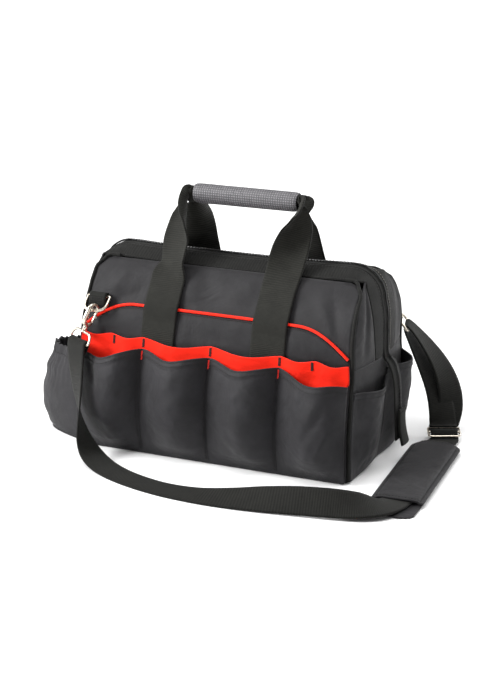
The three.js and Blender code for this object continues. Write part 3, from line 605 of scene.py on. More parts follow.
def woven_cloth(name, dark, light, pitch, roughness, sheen, relief):
    """Plain-woven cloth: mottled colour, over-and-under threads and soft creases."""
    made = Finish(name)
    mottle = made.grain({"Scale": 34, "Detail": 5, "Roughness": 0.62})
    uneven = {"Distortion": 0.4, "Detail": 1, "Detail Scale": 3}
    weave = made.product(made.bands(pitch, "X", uneven), made.bands(pitch, "Y", uneven))
    colour = made.shaded(made.two_tone(mottle, dark, light, 0.3, 0.72), made.spread(weave, 0.86, 1.06))
    crease = made.grain({"Scale": 16, "Detail": 3, "Roughness": 0.5, "Distortion": 1.1})
    fine = made.bump(weave, relief, 0.0005, over=made.bump(crease, 0.5, 0.006))
    return made.finish(
        {"Roughness": roughness, "Specular IOR Level": 0.2, "Sheen Weight": sheen, "Sheen Roughness": 0.45},
        {"Base Color": colour, "Normal": fine})


def ribbed_webbing(name, dark, light, rib, half_width):
    """Heavy woven tape: ribs across it, a herringbone ground and darker bound edges."""
    made = Finish(name)
    ribs = made.bands(rib, "Y", {"Distortion": 0.35, "Detail": 2, "Detail Scale": 4})
    ground = made.bands(rib * 0.75, "X", {"Distortion": 0.3})
    height = made.blend(ribs, ground, 0.3)
    mixed = made.blend(height, made.grain({"Scale": 60, "Detail": 4, "Roughness": 0.6}), 0.5)
    split = made.add("SeparateXYZ", links={0: made.place.outputs["UV"]})
    off = made.add("Math", {"operation": "ABSOLUTE"}, {0: split.outputs["X"]})
    edge = made.add(
        "MapRange",
        {"From Min": (half_width - BOUND_EDGE) * MM, "From Max": half_width * MM, "To Min": 1, "To Max": 0.6},
        {"Value": off.outputs[0]})
    colour = made.shaded(made.two_tone(mixed, dark, light, 0.25, 0.75), edge.outputs[0])
    return made.finish(
        {"Roughness": 0.72, "Specular IOR Level": 0.14, "Sheen Weight": 0.05, "Sheen Roughness": 0.5},
        {"Base Color": colour, "Normal": made.bump(height, 0.55, 0.0007)})


def squared_wrap(name, dark, light, square):
    """Soft synthetic wrap embossed with small squares, their tops painted paler as a painted highlight."""
    made = Finish(name)
    tops = made.product(made.bands(square, "X"), made.bands(square, "Y"))
    # Painted highlight: the square tops are coloured paler, mixed with a random mottle of tone
    painted_highlight_and_mottle = made.blend(tops, made.grain({"Scale": 180, "Detail": 3}), 0.35)
    colour = made.two_tone(painted_highlight_and_mottle, dark, light, 0.15, 0.7)
    return made.finish({"Roughness": 0.5}, {"Base Color": colour, "Normal": made.bump(tops, 0.6, 0.0008)})


def plated_metal(name, colour, roughness):
    """Nickel plate over cast zinc: bright, with faint polishing marks and uneven gloss."""
    made = Finish(name)
    marks = made.grain({"Scale": 420, "Detail": 4, "Roughness": 0.7})
    gloss = made.spread(marks, roughness - 0.07, roughness + 0.12)
    return made.finish(
        {"Base Color": hex_colour(colour), "Metallic": 1},
        {"Roughness": gloss, "Normal": made.bump(marks, 0.12, 0.0002)})


def spun_thread(name, colour, roughness):
    """Spun polyester sewing thread: matt, with a slight change of tone along it."""
    made = Finish(name)
    value = made.spread(made.grain({"Scale": 300, "Detail": 2}), 0.75, 1.2)
    shift = made.add("HueSaturation", {"Color": hex_colour(colour)}, {"Value": value})
    return made.finish({"Roughness": roughness}, {"Base Color": shift.outputs["Color"]})


def extruded_coil(name, colour, pitch):
    """Coil zip of extruded nylon: small glossy turns side by side along its UV map."""
    made = Finish(name)
    return made.finish(
        {"Base Color": hex_colour(colour), "Roughness": 0.4},
        {"Normal": made.bump(made.bands(pitch, "Y"), 0.7, 0.0006)})


finishes = {}


def make_finishes():
    """Every material of the bag, by its plain name."""
    settings = bpy.context.scene.tool_bag_looks
    weave, rib = settings.weave_pitch, settings.rib_pitch
    finishes.update({
        # Polyester canvas with a thin coating: matt charcoal, paler where the light rakes it
        "canvas": woven_cloth("Coated Polyester Canvas", "#1d1c1e", "#262527", weave, 0.6, 0.07, 0.3),
        # The same canvas in the pockets, painted a little paler all over: painted light standing for the
        # light on their bulging bellies
        "lit pocket canvas": woven_cloth(
            "Coated Polyester Pocket Canvas", "#201f21", "#29282b", weave, 0.58, 0.07, 0.3),
        # Thin unfinished polyester, dyed bright: saturated, with soft shade in its folds
        "lining": woven_cloth("Dyed Polyester Lining", "#f01c00", "#fc2200", weave * 0.8, 0.8, 0.1, 0.2),
        # Red cloth sewn over cord
        "red piping": woven_cloth("Red Polyester Piping", "#f01e00", "#fc2400", 1.2, 0.6, 0.1, 0.3),
        # Polypropylene webbing, heat-set: dull warm black with ribs across it
        "handle webbing": ribbed_webbing(
            "Polypropylene Handle Webbing", "#151512", "#272723", rib, HANDLE_WIDTH / 2),
        "strap webbing": ribbed_webbing(
            "Polypropylene Strap Webbing", "#0f0f0d", "#1d1d1a", rib, STRAP_WIDTH / 2),
        # Thinner tape of the same kind, with finer ribs
        "band webbing": ribbed_webbing("Polypropylene Mouth Binding", "#0d0d0c", "#1b1b19", 1.9, 14),
        # Embossed soft sheet wound round the handles
        "wrap": squared_wrap("Embossed Synthetic Grip Wrap", "#3c3b3e", "#767477", settings.wrap_square),
        # Cast zinc with a warm nickel plate
        "nickel": plated_metal("Nickel Plated Zinc", "#d8cfc0", 0.26),
        # Sewing thread, faded along the back edge of the mouth
        "black thread": spun_thread("Black Polyester Thread", "#141312", 0.85),
        "grey thread": spun_thread("Faded Polyester Thread", "#7d7973", 0.85),
        "red thread": spun_thread("Red Polyester Thread", "#f0261a", 0.75),
        # Glossy monofilament of the zip
        "zip": extruded_coil("Extruded Nylon Coil", "#171616", 2.2),
    })


# Shell

BASE_CORNER = 7
BINDING_CORNER = 8
BINDING_HEIGHT = 2.6
BINDING_RADIUS = 1.7
CORD_RADIUS = 2.5
FLANGE_RADIUS = 1.5
CORD_STEPS = 63
CORD_HOOK = 3.2
SEAM_STEP = 12
PANEL_SHOULDER = 178
PANEL_SHOULDER_RUN = 16
PANEL_DROP = 5
WING_TURN = 222
WING_RUN = 22


def wall_place(side, reach, bottom, top, lift):
    """Place function of a wall that rises from the bottom to the top edge at each x."""
    def place(s, t):
        share = lerp(-1, 1, s) * -side
        z = lerp(bottom, top(share * reach(bottom)), t)
        x = share * reach(z)
        return on_wall(side, x, z, lift(x, z))
    return place


def end_place(side, z_low, z_high, y_low, y_high, lift):
    """Place function of an end between two heights and two edges."""
    def place(s, t):
        z = lerp(z_low, z_high, t)
        share = s if side > 0 else 1 - s
        y = lerp(y_low(z), y_high(z), share)
        return on_end(side, y, z, lift(share, t, y, z))
    return place


def slip_edge(x):
    """Top of the slip pocket, lower toward the corners."""
    run = clamp((abs(x) - SLIP_START) / (BAG_LENGTH / 2 - SLIP_START), 0, 1)
    return SLIP_TOP - SLIP_DROP * run**2


def panel_edge(x):
    """Top of a wall under the mouth's binding."""
    return PANEL_TOP - PANEL_DROP * clamp((abs(x) - PANEL_SHOULDER) / PANEL_SHOULDER_RUN, 0, 1) ** 2


def off_handles(x):
    """0 under the middle of a handle and 1 away from both."""
    return 1 - math.exp(-(((abs(x) - HANDLE_CENTRE) / 30) ** 6))


def front_lift(x, z):
    """Folds of the front wall where it shows above the slip pocket."""
    shown = ease((z - slip_edge(x) - 5) / 10) * ease((PANEL_TOP - z) / 8)
    return shown * (folds_at(FRONT_FOLDS, x, z) * off_handles(x) + ripple(x, z, 38, 1.1, 3.1))


def back_lift(x, z):
    """Folds of the back wall beside its handle."""
    beside = ease((abs(abs(x) - HANDLE_CENTRE) - HANDLE_WIDTH / 2 - 3) / 12)
    edge = ease((PANEL_TOP - z) / 10) * ease((z - FLOOR_GAP) / 14)
    return edge * beside * (folds_at(BACK_FOLDS, x, z) + ripple(x, z, 60, 1.8, 7.7))


def wing_seam(z):
    return half_depth(z) - 1.4 * SEAM_INSET * (1 - ease((z - WING_TURN) / WING_RUN))


def wing_inner(z):
    return min(half_depth(BAND_FOOT) + SEAM_GAP, wing_seam(z) - 4)


def make_base():
    bm = bmesh.new()
    bmesh.ops.create_cube(bm, size=1)
    bmesh.ops.scale(bm, vec=Vector((BAG_LENGTH, BAG_DEPTH, SHELL_CLOTH)) * MM, verts=bm.verts)
    bmesh.ops.translate(bm, vec=(0, 0, SHELL_CLOTH / 2 * MM), verts=bm.verts)
    upright = [e for e in bm.edges if abs(e.verts[0].co.z - e.verts[1].co.z) > MM]
    bmesh.ops.bevel(bm, geom=upright, offset=BASE_CORNER * MM, offset_type="OFFSET", segments=5,
                    profile=0.5, affect="EDGES", material=-1)
    finish_piece(bm, "base_cloth", "canvas", nodes=["base_panel"])

    seam = []
    for cx, cy, start in ((1, -1, -90), (1, 1, 0), (-1, 1, 90), (-1, -1, 180)):
        middle = (cx * (BAG_LENGTH / 2 - BINDING_CORNER), cy * (BAG_DEPTH / 2 - BINDING_CORNER))
        seam += arc_points(middle, BINDING_CORNER, start, start + 90, 4)
    loop = []
    for a, b in zip(seam, seam[1:] + seam[:1]):
        steps = max(int((b - a).length / SEAM_STEP), 1)
        loop += [a.lerp(b, index / steps) + Vector((0, 0, BINDING_HEIGHT)) for index in range(steps)]
    bm = tube_mesh(loop, BINDING_RADIUS, 8, closed=True)
    finish_piece(bm, "base_binding", "band webbing")


def make_ends():
    for name, side in ENDS:
        place = end_place(
            side, FLOOR_GAP, BAND_END - SEAM_GAP,
            lambda z: -end_seam(z), end_seam,
            lambda s, t, y, z: ripple(y, z, 50, 0.9, 11.3) * ease((1 - t) * 8))
        sheet(f"end_wall_{name}", place, (52, 40), (205, 150), "canvas",
              f"end_panel_{name}", SHELL_CLOTH)
        for half_name, half in WALLS:
            low = wing_inner if half > 0 else (lambda z: -wing_seam(z))
            high = wing_seam if half > 0 else (lambda z: -wing_inner(z))

            def soft(s, t, y, z, turn=half * side):
                middle = math.sin(math.pi * s) * math.sin(math.pi * clamp(t * 0.95, 0, 1))
                pulled = 3.2 * math.exp(-(((s - 0.45 - 0.35 * t) / 0.16) ** 2))
                return middle * (1.6 + pulled * turn + ripple(y, z, 26, 1.3, 5.5))

            place = end_place(side, BAND_END, BAND_FOOT, low, high, soft)
            sheet(f"end_wing_cloth_{half_name}_{name}", place, (22, 34), (50, 90), "canvas",
                  f"end_wing_{half_name}_{name}", SHELL_CLOTH)


def make_cord(half_name, half, name, side):
    """Corner piping: a cord up the seam that curls inward over the panel's top corner."""
    route = []
    for z in spaced(FLOOR_GAP + SEAM_GAP, BAND_FOOT - 6, CORD_STEPS):
        x = side * seam_reach(z)
        sway = ripple(side * 3 + half, z, 30, 0.8, 2.2)
        route.append(Vector((x + side * sway, half * half_depth(z) * slump(x, z), z)))
    for index in range(1, 9):
        x = side * (panel_reach(PANEL_TOP) - CORD_HOOK * index)
        route.append(on_wall(half, x, panel_edge(x) + 1.2 + 0.1 * index, 1.4))
    bm = tube_mesh(catmull(route[:62] + route[66:], 90), CORD_RADIUS, 10)
    for along, deep in ((1.2, 2.8), (2.8, 1.2)):
        inward = Vector((-side * along, -half * deep, 0))
        join_into(bm, tube_mesh([at + inward for at in route[:60]], FLANGE_RADIUS, 6))
    finish_piece(bm, f"corner_cord_{half_name}_{name}", "band webbing",
                 nodes=[f"corner_piping_{half_name}_{name}"])


def make_shell():
    make_base()
    for (name, side), lift in zip(WALLS, (front_lift, back_lift)):
        sheet(f"{name}_wall", wall_place(side, panel_reach, FLOOR_GAP, panel_edge, lift), (110, 72),
              (392, 252), "canvas", f"{name}_panel", SHELL_CLOTH)
    make_ends()
    for half_name, half in WALLS:
        for name, side in ENDS:
            make_cord(half_name, half, name, side)


# Mouth, zip and tails

MOUTH_STEPS = 200
ZIP_STEPS = 320
COIL_STEPS = 1400
TAIL_ROUTE = [(2.4, BAND_END - 3), (10, BAND_END - 12), (17, BAND_END - 33), (20, BAND_END - 77),
              (22, TAIL_END)]


def mouth_half():
    """Stations of the mouth from the right foot to the middle: zip line and band edge."""
    corner_x = end_reach(ZIP_HEIGHT - ZIP_CORNER) - ZIP_CORNER
    corner_z = ZIP_HEIGHT - ZIP_CORNER

    def end_x(z):
        across = half_depth(BAND_FOOT) / half_depth(z)
        return lerp(end_reach(z), seam_reach(z), across**2)

    stations = []
    for z in spaced(BAND_END, corner_z, 6)[:-1]:
        stations.append((Vector((end_reach(z), 0, z)), Vector((end_x(z), 0, z))))
    for index, at in enumerate(arc_points((corner_x, corner_z), ZIP_CORNER, 0, 90, 6)):
        rise = lerp(corner_z, BAND_FOOT, min(index / 3, 1))
        edge_x = end_x(rise) if index <= 3 else lerp(seam_reach(BAND_FOOT), corner_x, index / 3 - 1)
        stations.append((Vector((at.x, 0, at.y)), Vector((edge_x, 0, rise))))
    for share in spaced(0, 1, 4)[1:]:
        x = lerp(corner_x, 0, share)
        sag = TOP_SAG * math.sin(math.pi / 2 * share)
        stations.append((Vector((x, 0, ZIP_HEIGHT - sag)), Vector((x, 0, BAND_FOOT - sag))))
    return stations


def mirrored(point):
    return Vector((-point.x, point.y, point.z))


right_half = mouth_half()
mouth = [(mirrored(a), mirrored(b)) for a, b in right_half[:-1]] + right_half[::-1]
zip_line = catmull([a for a, _ in mouth], MOUTH_STEPS)
edge_line = catmull([b for _, b in mouth], MOUTH_STEPS)


def band_place(side):
    """Place function of the binding between a wall's top edge and the zip."""
    zip_edge = ZIP_TAPE / 2 + 2 * SEAM_GAP
    band_edge = half_depth(BAND_FOOT)

    def place(s, t):
        index = round((s if side < 0 else 1 - s) * MOUTH_STEPS)
        edge, top = edge_line[index], zip_line[index]
        y = lerp(band_edge * slump(edge.x, edge.z), zip_edge, t)
        pucker = ripple(index * 4, t * 24, 20, 1.0, 9.1 + side)
        crown = 1.6 * math.sin(math.pi * t)
        across = top - edge
        at = edge.lerp(top, t) + across.normalized() * (0.4 * crown + 0.3 * pucker)
        return at + Vector((0, side * (y + 0.5 * (crown + pucker) + 0.03 * across.length), 0))
    return place


def zip_rows():
    """Centres and widths of the zip tape, from the foot of one tail to the other's."""
    right = [
        (Vector((end_reach(BAND_END) + out, 0, z)), ZIP_TAPE if z > BAND_END - 5 else TAIL_WIDTH)
        for out, z in TAIL_ROUTE
    ]
    left = [(mirrored(at), width) for at, width in right]
    return left[::-1] + [(a, ZIP_TAPE) for a, _ in mouth[1:-1]] + right


def make_mouth():
    for name, side in WALLS:
        sheet(f"mouth_binding_{name}", lambda s, t, p=band_place(side): p(t, 1 - s), (8, MOUTH_STEPS),
              (27, 640), "band webbing", f"mouth_band_{name}", SHELL_CLOTH)
    shares = spaced(0, 1, MOUTH_STEPS)
    thread_piece("mouth_stitches_back", [surface_run(band_place(1), [(s, 0.9) for s in shares])],
                 "grey thread", length=2, pitch=4, width=1)
    thread_piece("mouth_stitches_front",
                 [surface_run(band_place(-1), [(s, t) for s in shares]) for t in (0.07, 0.93)],
                 "black thread")

    rows = zip_rows()
    centre = catmull([at for at, _ in rows], ZIP_STEPS)

    def outward(index):
        along = centre[min(index + 1, ZIP_STEPS)] - centre[max(index - 1, 0)]
        return Vector((-along.z, 0, along.x)).normalized()

    def tape(s, t):
        station = t * (len(rows) - 1)
        low = min(int(station), len(rows) - 2)
        width = lerp(rows[low][1], rows[low + 1][1], station - low)
        index = round(t * ZIP_STEPS)
        curl = (0.3 if 0.1 < t < 0.9 else 1.1) * (2 * s - 1) ** 2
        return centre[index] + Vector((0, (0.5 - s) * width, 0)) - outward(index) * curl

    sheet("zip_cloth", tape, (8, ZIP_STEPS), (ZIP_TAPE, 900), "band webbing",
          "zip_tape", POCKET_CLOTH * 0.7, offset=0)
    lift = POCKET_CLOTH / 2 + COIL_RADIUS
    coil = catmull([centre[index] + outward(index) * lift for index in range(3, ZIP_STEPS - 2)], COIL_STEPS)
    bm = tube_mesh(
        coil, lambda t: COIL_RADIUS * (0.86 + 0.16 * math.cos(t * COIL_STEPS * math.pi / 2)), 8)
    finish_piece(bm, "zip_teeth", "zip", nodes=["zip_coil"])

    for name, side in ENDS:
        def tab(s, t, side=side):
            z = lerp(TAIL_END - 6, TAIL_END + TAB_HEIGHT, t)
            out = end_reach(BAND_END) + 6.05 + lerp(22, 20, (z - TAIL_END) / TAB_HEIGHT)
            kick = 3.4 * (1 - t) ** 2 - 1.6 * math.sin(math.pi * t)
            dish = 1.5 * (2 * s - 1) ** 2
            y = (s - 0.5) * (TAIL_WIDTH - 2) * (1 - 0.06 * math.sin(3 * t))
            return Vector((side * (out + kick - dish), y * side, z))

        sheet(f"zip_end_tab_{name}", tab, (10, 18), (TAIL_WIDTH, TAB_HEIGHT), "strap webbing",
              f"zip_tab_{name}", 2.6, offset=0)
        edge = spaced(0.07, 0.93, 20)
        run = [(0.1, t) for t in edge] + [(s, 0.93) for s in edge] + [(0.9, 1 - t) for t in edge]
        thread_piece(f"zip_tab_stitches_{name}", [raised(surface_run(tab, run), 1.2)],
                     "black thread")


# Pockets

SEAMS = (-POCKET_PITCH, 0, POCKET_PITCH)
TACKS = 9
OUTER_TACKS = (-145, 146)
HEM_ROWS = (2.4, 8.6)
CASING_ROW = 13
PLEATS = 22
BROAD_PLEATS = 8
END_POCKETS = [
    ("front_right", 1, -1, END_HEM, 0.7 * END_BULGE, 4),
    ("back_right", 1, 1, END_HEM + 10, END_BULGE, 0),
    ("back_left", -1, 1, END_HEM + 10, END_BULGE, 0),
]
POD_FORM = [(0, 0.9), (0.08, 0.98), (0.22, 1.02), (0.45, 1), (0.7, 0.9), (0.88, 0.76), (1, 0.7)]


def bellied(share):
    return math.sin(math.pi * clamp(share, 0, 1)) ** 2


def outside(x):
    """Whether a place lies in one of the two outer pockets."""
    return abs(x) > POCKET_PITCH


def pocket_share(x):
    if outside(x):
        return clamp((abs(x) - POCKET_PITCH) / (panel_reach(FLOOR_GAP) - POCKET_PITCH), 0, 1)
    return abs(x) / POCKET_PITCH


def lining_lobe(x):
    """How far the lining stands off between its bartacks, from 0 to 1."""
    share = pocket_share(x)
    return bellied(share * 2 % 1) if outside(x) else bellied(share)


def lining_edge(x):
    sag = 0.55 * LINING_SAG if outside(x) else LINING_SAG
    return LINING_TOP - sag * lining_lobe(x) ** 0.7


def lining_reach(z):
    return panel_reach(z) - 4 * ease((OUTER_HEM + 4 - z) / 8)


def lining_lift(x, z):
    reach = 0.6 if outside(x) else 1
    rise = clamp(z / LINING_TOP, 0, 1)
    soft = ripple(x, z, 22, 0.8, 6.4) * lining_lobe(x) * ease(rise * 4)
    return LINING_LIFT + LINING_BULGE * reach * lining_lobe(x) * rise + soft


def pocket_edge(x):
    share = pocket_share(x)
    hem = lerp(POCKET_HEM, OUTER_HEM, share) if outside(x) else POCKET_HEM
    return hem - HEM_SAG * bellied(share)


def pocket_lift(x, z):
    """Bellies of the front pockets, each fullest left of its middle, with hem and folds."""
    share = pocket_share(x)
    from_left = share if x > 0 else 1 - share
    across = math.sin(math.pi * from_left**POCKET_LEAN)
    rise = clamp(z / pocket_edge(x), 0, 1)
    belly = POCKET_BULGE * across**0.85 * math.sin(math.pi * (0.02 + 0.66 * rise)) * ease(rise * 5)
    hem = 0.8 * ease((z - pocket_edge(x) + 11) / 1.5)
    loose = across**0.6 * ease(rise * 5)
    folds = (folds_at(POCKET_FOLDS, x, z) + ripple(x, z, 26, 1.5, 4.2)) * loose
    return POCKET_LIFT + belly + hem + folds


def slip_lift(x, z):
    above = ease((z - LINING_TOP) / 10) * ease((slip_edge(x) - z) / 5)
    folds = folds_at(SLIP_FOLDS, x, z) * 0.6 + ripple(x, z, 30, 0.6, 1.4)
    return SLIP_LIFT + off_handles(x) * above * folds


def end_pocket_place(side, half, hem, bulge, slack):
    """Place function of a pocket on one half of an end."""
    def place(s, t):
        share = s if side == half else 1 - s
        z = lerp(FLOOR_GAP, hem - slack * bellied(share), t)
        y = half * lerp(0.15, end_seam(z), share)
        full = math.sin(math.pi / 2 * clamp(z / hem, 0, 1)) ** 0.6
        across = math.sin(math.pi * clamp(share, 0, 1))
        folds = ripple(y, z, 24, 1.6, side + 2 * half + 8) * across * ease(t * 6)
        rolled = 0.7 * ease((t - 0.92) * 50)
        belly = bulge * across**1.7 * full
        return on_end(side, y, z, SEAM_GAP + POCKET_CLOTH + belly + folds + rolled)
    return place


def pod_reach(rise):
    """Share of its full width that the gathered pocket has at a height."""
    rise = clamp(rise, 0, 1)
    for (z0, r0), (z1, r1) in zip(POD_FORM, POD_FORM[1:]):
        if rise <= z1:
            return lerp(r0, r1, ease((rise - z0) / (z1 - z0)))
    return POD_FORM[-1][1]


def pod_place(s, t):
    """The gathered pocket: full below, drawn in by the elastic in its hem."""
    fine = 2 * math.pi * PLEATS * s
    top = POD_HEM + 0.9 * math.cos(fine) * ease((t - 0.9) * 10)
    z = lerp(FLOOR_GAP, top, t)
    share = clamp(s, 0, 1)
    y = -lerp(POD_INNER, end_seam(z), share)
    at = end_point(-1, y, z)
    across = math.sin(math.pi * share) ** 0.9
    gathered = ease((t - 0.45) * 2)
    turned = 3 * noise.noise(Vector((s * 9, t * 2, 3)))
    broad = (1.4 + 1.6 * ease((t - 0.8) * 8)) * gathered * math.cos(2 * math.pi * BROAD_PLEATS * s + turned)
    pleat = gathered * (0.7 * math.cos(fine + turned) + broad)
    casing = -1.8 * math.exp(-(((t - 0.9) / 0.02) ** 2)) + 0.8 * ease((t - 0.93) * 20)
    crease = ripple(y, z, 30, 2.0, 12.5) * ease(t * 6)
    out = 1.8 + POD_BULGE * pod_reach(z / POD_HEM) * across
    lean = (pleat + casing + crease) * across
    return at + Vector((-out - lean, lean * 0.5 * math.cos(math.pi * share), 0))


def hem_run(place, depth, height, columns=120):
    """Run along a piece at that depth below its upper edge."""
    return surface_run(place, [(s, 1 - depth / height) for s in spaced(0, 1, columns)])


def make_front_pockets():
    outer = wall_place(-1, panel_reach, FLOOR_GAP, pocket_edge, pocket_lift)
    sheet("front_pocket_cloth", outer, (240, 84), (480, 150), "lit pocket canvas",
          "front_pockets", POCKET_CLOTH)
    sewn, red, black = bmesh.new(), bmesh.new(), bmesh.new()
    for depth in HEM_ROWS:
        stitches(sewn, hem_run(outer, depth, POCKET_HEM, 400), 2.4, 3.8, 0.7)
    for x in SEAMS:
        s = 0.5 + x / (2 * panel_reach(FLOOR_GAP))
        for shift in (-0.0035, 0.0035):
            run = surface_run(outer, [(s + shift, t / 60) for t in range(2, 56)])
            stitches(sewn, [(p, Vector((0, -1, 0))) for p, _ in run], 2.6, 4, 0.7, lift=0.4)
        for row in range(TACKS):
            at = outer(s, 0.9 + row * 0.0095) + Vector((0, -0.5, 0))
            tack(red, at, Matrix.Diagonal((3.2, 0.9, 1.0, 1)))
    for x in sorted((*SEAMS, *OUTER_TACKS)):
        for row in range(TACKS):
            z = lining_edge(x) - 2 - row * 1.3
            at = on_wall(-1, x, z, lining_lift(x, z) + 0.3)
            tack(black, at, Matrix.Diagonal((3.4, 0.9, 0.9, 1)))
    finish_piece(sewn, "pocket_stitches", "black thread", angle=60)
    finish_piece(red, "pocket_bartacks", "red thread", angle=60)
    finish_piece(black, "lining_bartacks", "black thread", angle=60)


def make_pockets():
    slip = wall_place(-1, panel_reach, FLOOR_GAP, slip_edge, slip_lift)
    sheet("slip_pocket_wall", slip, (130, 60), (392, 195), "canvas", "slip_pocket",
          POCKET_CLOTH)
    reach = panel_reach(SLIP_TOP) - 1
    off = SLIP_PIPING + SEAM_GAP
    route = [on_wall(-1, x, slip_edge(x) + off, off) for x in spaced(-reach, reach, 120)]
    finish_piece(tube_mesh(route, SLIP_PIPING, 12), "slip_piping_cord", "red piping",
                 nodes=["slip_piping"])
    thread_piece("slip_stitches", [hem_run(slip, 2.2, SLIP_TOP, 200)],
                 "black thread", length=2.6, pitch=4, width=0.7)
    inner = wall_place(-1, lining_reach, LINING_FOOT, lining_edge, lining_lift)
    sheet("lining_wall", inner, (160, 30), (392, 60), "lining", "pocket_lining",
          POCKET_CLOTH)
    make_front_pockets()

    for name, side, half, hem, bulge, slack in END_POCKETS:
        place = end_pocket_place(side, half, hem, bulge, slack)
        sheet(f"end_pocket_cloth_{name}", place, (44, 56), (115, hem), "lit pocket canvas",
              f"end_pocket_{name}", POCKET_CLOTH)
        thread_piece(f"end_pocket_stitches_{name}",
                     [hem_run(place, depth, hem, 60) for depth in HEM_ROWS],
                     "black thread", length=2.4, pitch=3.8, width=0.7)

    sheet("gathered_pocket_cloth", pod_place, (150, 90), (190, 132), "lit pocket canvas",
          "gathered_pocket", POCKET_CLOTH)
    thread_piece("gathered_pocket_stitches", [hem_run(pod_place, CASING_ROW, POD_HEM, 150)],
                 "black thread", length=2.2, pitch=3.6, width=0.7)

    def floor_place(s, t):
        wall = end_point(-1, -lerp(POD_INNER, end_seam(0), s), 0)
        rim = pod_place(s, 0)
        return Vector((lerp(wall.x - 1.8, rim.x - 0.8, t), lerp(wall.y, rim.y, t), 0.2))

    sheet("gathered_pocket_floor", floor_place, (60, 12), (90, 60), "lit pocket canvas",
          "gathered_pocket_base", SHELL_CLOTH - 0.2)


# Webbing, handles and grip

FOLD_LIMIT = 1.3
HANDLE_STEPS = 260
# Each handle: side, reach of its legs from the grip's middle, lift of its top and height of its foot
HANDLES = [("front", -1, 86, 2.25, HANDLE_FOOT), ("back", 1, 81, -2.25, BACK_FOOT)]
GRIP_HOLD = 77
TOP_WIDTH = 22
EDGE_ROWS = (0.06, 0.94)
EDGE_RUNS = ((10, 80), (180, 250))
BOX_HEIGHTS = (168, 173)
WRAP_THICKNESS = 2.4
LEG_RISE = [0, 0.14, 0.28, 0.42, 0.5, 0.54, 0.58, 0.62, 0.66, 0.74, 0.86]
# Above the mouth: rise, lean to the grip, closing to the middle, turn in degrees and width
LEG_CURL = [
    (0.04, 0, 0, 4, 1),
    (0.3, 0.3, 0.2, 20, 1),
    (0.58, 0.58, 0.4, 36, 0.97),
    (0.8, 0.85, 0.58, 60, 0.64),
    (0.92, 1, 0.68, 86, 0.44),
]


def fold_angle(ratio):
    """Half angle of the arc whose chord is that share of its length."""
    low, high = 0, 3
    for _ in range(24):
        middle = (low + high) / 2
        if math.sin(middle) > ratio * middle:
            low = middle
        else:
            high = middle
    return low


def tape_place(rows, steps, full=None, flip=False):
    """Place function of a tape through rows of centre, direction across and width."""
    centre = catmull([at for at, _, _ in rows], steps)
    span = catmull([across.normalized() * width for _, across, width in rows], steps)
    angles = [min(fold_angle(min(v.length / full, 1)), FOLD_LIMIT) if full else 0 for v in span]

    def place(s, t):
        index = round(t * steps)
        along = (centre[min(index + 1, steps)] - centre[max(index - 1, 0)]).normalized()
        right = (span[index] - along * span[index].dot(along)).normalized()
        share = (1 - s if flip else s) * 2 - 1
        angle = angles[index]
        if angle < 0.06:
            return centre[index] + right * (share * span[index].length / 2)
        out = right.cross(along) * (-1 if flip else 1)
        radius = span[index].length / 2 / math.sin(angle)
        depth = radius * (1 - math.cos(angle * share)) - radius * (1 - math.cos(angle)) * 0.35
        return centre[index] + right * (radius * math.sin(angle * share)) - out * depth
    return place


def smooth_rows(rows, rounds):
    for _ in range(rounds):
        middle = [
            tuple((low + at * 2 + high) / 4 for low, at, high in zip(*three))
            for three in zip(rows, rows[1:], rows[2:])
        ]
        rows = [rows[0], *middle, rows[-1]]
    return rows


def level_rows(rows):
    """Turns each direction across to point the same way as the one before it."""
    turned = [rows[0]]
    for at, across, width in rows[1:]:
        same = across.dot(turned[-1][1]) >= 0
        turned.append((at, across if same else -across, width))
    return turned


def handle_leg(side, hand, half_top, level, foot):
    """Rows of one leg of a handle, from its foot on the wall to the grip."""
    steps = math.ceil((HANDLE_FOOT - foot) / 17)
    heights = spaced(foot, HANDLE_FOOT, steps)[:-1] if steps else []
    heights += [lerp(HANDLE_FOOT, BAND_FOOT, share) for share in LEG_RISE]
    edge = hand * (HANDLE_CENTRE + HANDLE_WIDTH / 2)
    inner = edge - hand * HANDLE_WIDTH
    rows = []
    for z in heights:
        lift = HANDLE_LIFT - WEBBING / 2 + 2.6 * math.exp(-(((z - SLIP_TOP) / 11) ** 2))
        across = (on_wall(side, edge, z, lift) - on_wall(side, inner, z, lift)) * -hand
        rows.append((on_wall(side, hand * HANDLE_CENTRE, z, lift), across.normalized(), HANDLE_WIDTH))
    start = on_wall(side, hand * HANDLE_CENTRE, BAND_FOOT, HANDLE_LIFT)
    curled = []
    for rise, lean, close, turn, width in LEG_CURL:
        at = Vector((
            lerp(start.x, GRIP_CENTRE + hand * half_top, lean), lerp(start.y, 0, close),
            lerp(BAND_FOOT, GRIP_HEIGHT + level, rise)))
        curled.append((at, turned_across(turn * hand * -side) * -hand, HANDLE_WIDTH * width))
    return rows[:-1] + smooth_rows([rows[-1]] + curled, 2)


def box_rows(place, height):
    """Shares along a handle at which its two legs pass a height."""
    found = []
    for low, high in ((0, 0.5), (0.5, 1)):
        shares = [share for share in spaced(0, 1, HANDLE_STEPS) if low <= share <= high]
        found.append(min(shares, key=lambda share: abs(place(0.5, share).z - height)))
    return found


def wrap_place(s, t):
    """The grip wrap: overlapped along one side and drawn in at both ends."""
    end = math.sin(math.pi / 2 * clamp(min(t, 1 - t) * 16, 0, 1)) ** 0.5
    angle = 2 * math.pi * s - math.pi / 2
    overlap = 1.1 * math.exp(-(((s - 0.06) / 0.03) ** 2)) * end
    dent = ripple(t * 60, s * 8, 20, 0.35, 3.3)
    radius = GRIP_RADIUS - 1.6 + 1.3 * end + overlap + dent
    y = radius * 0.98 * math.cos(angle)
    z = radius * 1.03 * math.sin(angle)
    return Vector((GRIP_CENTRE + GRIP_LENGTH * (t - 0.5), -y, GRIP_HEIGHT + z))


